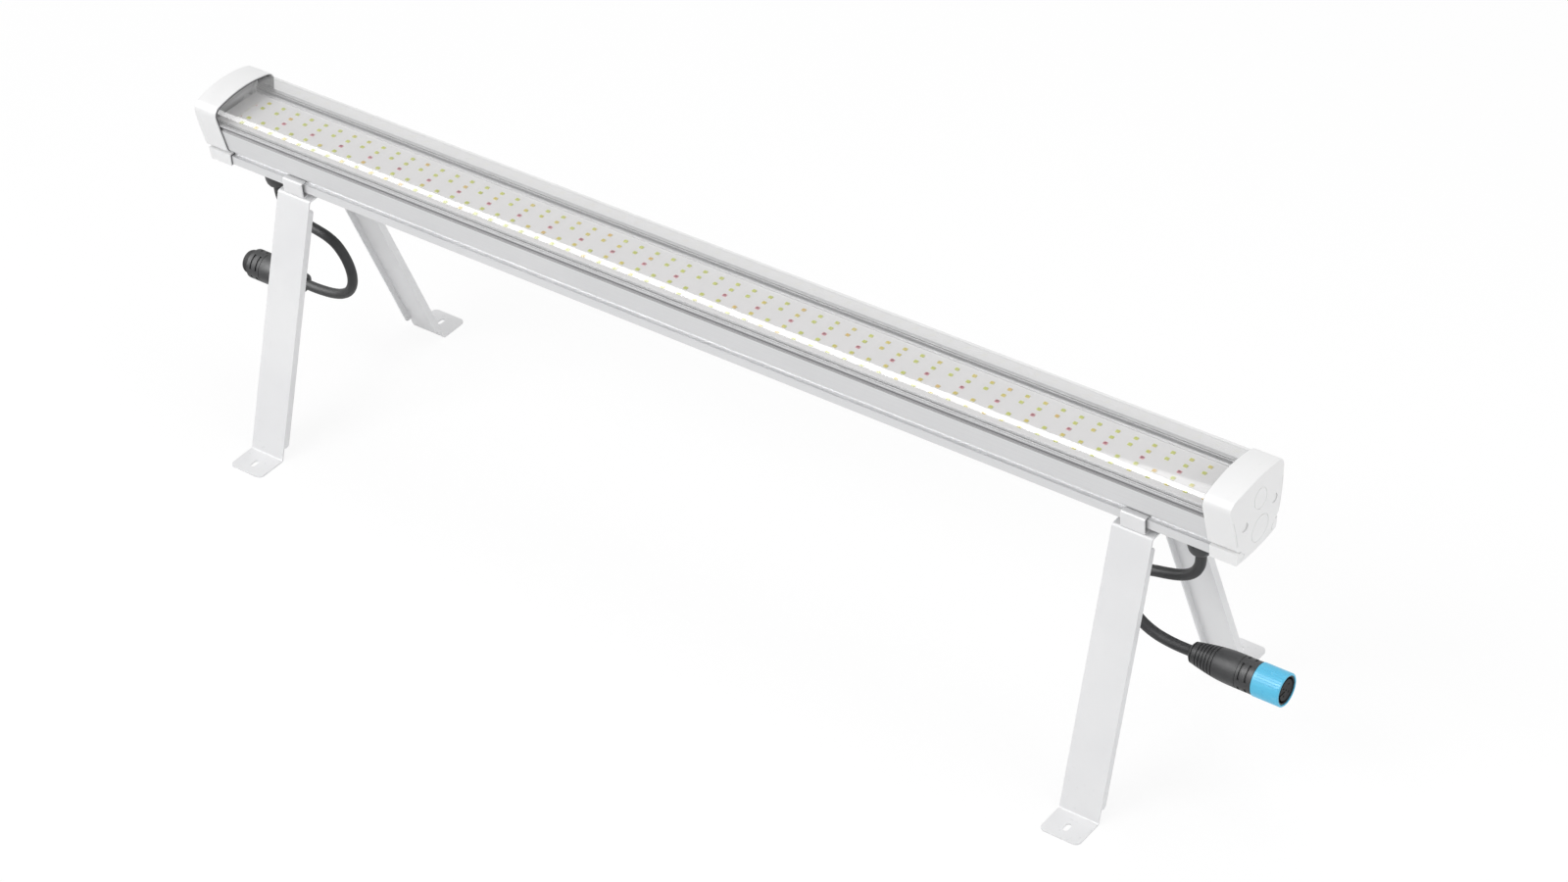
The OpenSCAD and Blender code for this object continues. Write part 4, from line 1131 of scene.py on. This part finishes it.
@dataclass
class Lead:
    """One flexible lead, from its gland round to its connector."""

    workshop: Workshop
    side: Side
    route: list[Span]
    pieces: list[Piece]
    diameter: float = 10.5 * MM
    gland_x: float = 544.5 * MM
    start_z: float = 239.0 * MM
    steps: int = 6
    sides: int = 28
    lines_per_metre: float = 100.0

    def centreline(self) -> list[Vector]:
        """The lead's centreline, smooth through the route's points.

        Returns:
            The points, in metres.
        """
        x0 = self.side.value * self.gland_x
        flat = [Vector((x0 + x * MM, 0.0, self.start_z + z * MM)) for x, z in self.route]
        line: list[Vector] = []
        for i in range(len(flat) - 1):
            a, b = flat[max(i - 1, 0)], flat[i]
            c, d = flat[i + 1], flat[min(i + 2, len(flat) - 1)]
            for step in range(self.steps):
                t = step / self.steps
                bend = (2 * a - 5 * b + 4 * c - d) * t * t + (3 * b - a - 3 * c + d) * t**3
                line.append(0.5 * (2 * b + (c - a) * t + bend))
        return [*line, flat[-1]]

    def build(self) -> None:
        line = self.centreline()
        shape = bmesh.new()
        along = shape.loops.layers.uv.new("along")
        rings: list[list[bmesh.types.BMVert]] = []
        lengths = [0.0]
        for i, centre in enumerate(line):
            ahead = line[min(i + 1, len(line) - 1)] - line[max(i - 1, 0)]
            ahead.normalize()
            across = Vector((0.0, 1.0, 0.0))
            up = ahead.cross(across)
            if i:
                lengths.append(lengths[-1] + (centre - line[i - 1]).length)
            angles = [math.tau * j / self.sides for j in range(self.sides)]
            spokes = [across * math.cos(angle) + up * math.sin(angle) for angle in angles]
            rings.append([shape.verts.new(centre + spoke * self.diameter / 2) for spoke in spokes])
        for i in range(len(rings) - 1):
            for j in range(self.sides):
                k = (j + 1) % self.sides
                face = shape.faces.new((rings[i][j], rings[i][k], rings[i + 1][k], rings[i + 1][j]))
                face.smooth = True
                turns = (j / self.sides, (j + 1) / self.sides, (j + 1) / self.sides, j / self.sides)
                for loop, u, v in zip(face.loops, turns, (i, i, i + 1, i + 1), strict=True):
                    loop[along].uv = (u, lengths[v] * self.lines_per_metre)
        shape.faces.new(rings[0][::-1])
        shape.faces.new(rings[-1])
        bmesh.ops.recalc_face_normals(shape, faces=shape.faces)
        node = f"lead_{self.side.word}"
        piece = self.workshop.show(finished(shape, f"{node}_jacket"), "lead_rubber", "bar", node)
        LOG.info("%s lead, %.0f mm long", self.side.word, lengths[-1] / MM)


@dataclass
class Fittings:
    """The glands, the plug, the socket and its blue ring, shaded smooth."""

    workshop: Workshop
    smoothed: tuple[str, ...] = (
        *("gland_body_left", "gland_body_right", "gland_dome_left", "gland_dome_right"),
        *("plug_body_left", "plug_shroud_left", "plug_pins_left", "plug_seal_left"),
        *("socket_body_right", "socket_insert_right", "socket_contacts_right"),
    )
    ring: str = "locking_ring_right"
    smooth_below: float = 26.0
    ring_turn: float = -30.0
    tick_place: float = 0.45
    tick_arc: Span = (160.0, 190.0)
    tick_taper: float = 0.25
    tick_steps: int = 16
    tick_width: float = 0.8 * MM
    tick_rise: float = 0.35 * MM
    tick_sunk: float = -0.1 * MM

    def turned(self) -> Matrix:
        """The turn about its axis that brings the ring's flutes to where the photograph shows them.

        Returns:
            The turn, as a matrix.
        """
        low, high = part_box(self.ring)
        axis = Vector((low[0], (low[1] + high[1]) / 2, (low[2] + high[2]) / 2))
        spin = Matrix.Translation(axis) @ Matrix.Rotation(math.radians(self.ring_turn), 4, "X")
        return spin @ Matrix.Translation(-axis)

    def tick(self) -> None:
        """Raise the ring's plain tick, a short rib round its middle."""
        low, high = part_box(self.ring)
        radius = (high[1] - low[1]) / 2
        middle = Vector((0.0, (low[1] + high[1]) / 2, (low[2] + high[2]) / 2))
        place = low[0] + (high[0] - low[0]) * self.tick_place
        shape = bmesh.new()
        rows: list[list[bmesh.types.BMVert]] = []
        for step in range(self.tick_steps + 1):
            share = step / self.tick_steps
            angle = math.radians(self.tick_arc[0] + (self.tick_arc[1] - self.tick_arc[0]) * share)
            rise = self.tick_rise * min(1.0, share / self.tick_taper, (1.0 - share) / self.tick_taper)
            section = ((-0.5, self.tick_sunk), (-0.25, rise), (0.25, rise), (0.5, self.tick_sunk))
            out = Vector((0.0, math.cos(angle), math.sin(angle)))
            rows.append([])
            for x, lift in section:
                point = Vector((place + x * self.tick_width, 0.0, 0.0)) + out * (radius + lift)
                rows[-1].append(shape.verts.new(middle + point))
        for first, second in zip(rows, rows[1:]):
            for j in range(4):
                k = (j + 1) % 4
                shape.faces.new((first[j], first[k], second[k], second[j])).smooth = j == 1
        shape.faces.new(rows[0][::-1])
        shape.faces.new(rows[-1])
        bmesh.ops.recalc_face_normals(shape, faces=shape.faces)
        self.workshop.show(finished(shape, "ring_tick"), "ring_blue", "locking_ring")

    def dress(self) -> dict[str, Piece]:
        """Put smooth-shaded copies over the turned and moulded nodes.

        Returns:
            The copies by the node they stand for.
        """
        made = {name: self.workshop.dress(name, self.smooth_below, "bar") for name in self.smoothed}
        ring = self.workshop.dress(self.ring, self.smooth_below, "locking_ring", moved=self.turned())
        made[self.ring] = ring
        self.tick()
        return made


@dataclass
class Stands:
    """The two folded stands with their clips, screws and nuts."""

    workshop: Workshop
    smoothed: tuple[str, ...] = ("stand", "rail_clip", "clip_screw", "clip_nut")
    smooth_below: float = 32.0

    def dress(self) -> None:
        """Put smooth-shaded copies over the folded sheets and what fastens them."""
        for side in Side:
            for kind in self.smoothed:
                self.workshop.dress(f"{kind}_{side.word}", self.smooth_below, f"stand_{side.word}")


# Studio


@dataclass
class Lamp:
    """One soft lamp, aimed at a point."""

    name: str
    at: Point
    aim: Point
    size: Span
    power: float
    only_in_gloss: bool = False

    def build(self) -> None:
        """Add the lamp to the scene."""
        light = bpy.data.lights.new(self.name, "AREA")
        light.shape = "RECTANGLE"
        light.size, light.size_y = self.size
        light.energy = self.power
        obj = bpy.data.objects.new(self.name, light)
        obj.location = self.at
        obj.rotation_euler = (Vector(self.aim) - Vector(self.at)).to_track_quat("-Z", "Y").to_euler()
        obj.visible_diffuse = not self.only_in_gloss
        obj.visible_transmission = not self.only_in_gloss
        bpy.context.scene.collection.objects.link(obj)


@dataclass
class Studio:
    """The camera, the floor, the soft lamps and the white surround."""

    lens: float = 94.195
    sensor: float = 36.0
    eye: Point = (2.0301, -2.35396, 2.4936)
    turn: Point = (52.667, 3.496, 36.895)
    floor_size: float = 14.0
    floor_tones: tuple[Colour, Colour] = ((0.9, 0.9, 0.9), (0.88, 0.88, 0.885))
    floor_glow: float = 1.03
    floor_share: float = 0.84
    white: Colour = (1.0, 1.0, 1.0)
    fill: float = 0.5
    lamps: tuple[Lamp, ...] = (
        Lamp("key", (-1.2, -2.6, 3.2), (0.0, 0.0, 0.2), (2.4, 1.6), 60.0),
        Lamp("top", (0.4, 0.9, 3.4), (0.0, 0.0, 0.2), (3.0, 1.4), 23.0),
        Lamp("side", (3.2, -0.4, 1.6), (0.0, 0.0, 0.2), (1.6, 1.6), 18.0),
        Lamp("sheen", (-1.9, -1.6, 2.9), (0.0, 0.0, 0.33), (3.4, 4.8), 285.0, True),
    )

    def build(self) -> None:
        """Build everything round the object."""
        self.camera()
        self.floor()
        self.world()
        for lamp in self.lamps:
            lamp.build()
        bpy.context.scene.view_settings.view_transform = "Standard"
        LOG.info("studio with %d lamps", len(self.lamps))

    def camera(self) -> None:
        """Set the camera where the photograph was taken from."""
        data = bpy.data.cameras.new("view")
        data.lens = self.lens
        data.sensor_width = self.sensor
        data.clip_end = 60.0
        obj = bpy.data.objects.new("view", data)
        obj.location = self.eye
        obj.rotation_euler = tuple(math.radians(v) for v in self.turn)
        bpy.context.scene.collection.objects.link(obj)
        bpy.context.scene.camera = obj

    def seen(self, p: Nodes) -> Socket:
        """Whether a ray comes from the eye, a mirror or clear material, and met no matt surface before.

        Args:
            p: the nodes of the material or the surround.

        Returns:
            1 for such a ray, else 0.
        """
        path = p.add("ShaderNodeLightPath").outputs
        either = p.combine(path["Is Camera Ray"], path["Is Glossy Ray"], "MAXIMUM")
        either = p.combine(either, path["Is Transmission Ray"], "MAXIMUM")
        return p.times(either, p.combine(path["Diffuse Depth"], 0.5, "LESS_THAN"))

    def floor(self) -> None:
        """Lay the pale floor, which shows nearly white and keeps the shadow."""
        half = self.floor_size / 2
        mesh = bpy.data.meshes.new("floor")
        outline = [(-half, -half, 0.0), (half, -half, 0.0), (half, half, 0.0), (-half, half, 0.0)]
        mesh.from_pydata(outline, [], [(0, 1, 2, 3)])
        obj = keep("floor", mesh)
        p = Palette("floor")
        matt = p.add(
            "ShaderNodeBsdfPrincipled",
            Base_Color=p.mix(p.between(p.noise(0.8, 2.0), 0.0, 1.0), *self.floor_tones),
            Roughness=0.8,
        )
        glow = p.add("ShaderNodeEmission", Color=self.white, Strength=self.floor_glow)
        share = p.times(self.seen(p), self.floor_share)
        mesh.materials.append(p.done(p.blend(share, matt, glow)))

    def world(self) -> None:
        """Make the surround white where it is seen and dimmer where it only lights."""
        world = bpy.data.worlds.new("surround")
        world.use_nodes = True
        p = Nodes(world.node_tree)
        light = p.between(self.seen(p), self.fill, 1.0, 0.0, 1.0)
        back = p.add("ShaderNodeBackground", Color=self.white, Strength=light)
        p.add("ShaderNodeOutputWorld", Surface=back.outputs[0])
        bpy.context.scene.world = world


# All together


LEFT_ROUTE = [
    (0, 0), (0, -8), (1.5, -16.5), (6, -25), (13.5, -31.7), (23.5, -36), (35.5, -38.4),
    (47.5, -40.4), (59.5, -43.4), (70, -49), (78, -58), (83.5, -69), (85.8, -81), (84, -93),
    (77.5, -103.5), (67, -110.5), (54.5, -114.4), (42, -116.2), (30, -117), (17.5, -117),
]
RIGHT_ROUTE = [
    (0, 0), (0, -8), (-1.5, -16.5), (-6, -25), (-13.5, -31.7), (-23.5, -36.4), (-35.5, -39.8),
    (-47.5, -42.5), (-56.5, -45.3), (-66.5, -52.5), (-73.7, -62.7), (-77, -74.8), (-76, -87.3),
    (-70.7, -98.6), (-64, -105.5), (-55.5, -111), (-45.5, -114.9), (-34.5, -117), (-22.5, -118),
    (-9.5, -118),
]


def main() -> None:
    """Build the classes in order."""
    logging.basicConfig(level=logging.INFO, format="%(message)s")
    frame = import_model()
    slots = {part["node"]: part["material_slot"] for part in frame["record"]["subparts"]}
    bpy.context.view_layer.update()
    Studio().build()
    workshop = Workshop(frame["nodes"], slots)
    workshop.coat_carried()
    fittings = Fittings(workshop).dress()
    on_left = [fittings[n] for n in fittings if n.startswith("plug_")]
    on_right = [fittings[n] for n in fittings if n.startswith(("socket_", "locking_"))]
    Lead(workshop, Side.LEFT, LEFT_ROUTE, on_left).build()
    Lead(workshop, Side.RIGHT, RIGHT_ROUTE, on_right).build()
    Bar(workshop).dress()
    LightEngine(workshop).build()
    Stands(workshop).dress()
    bpy.context.view_layer.update()


if __name__ == "__main__":
    main()
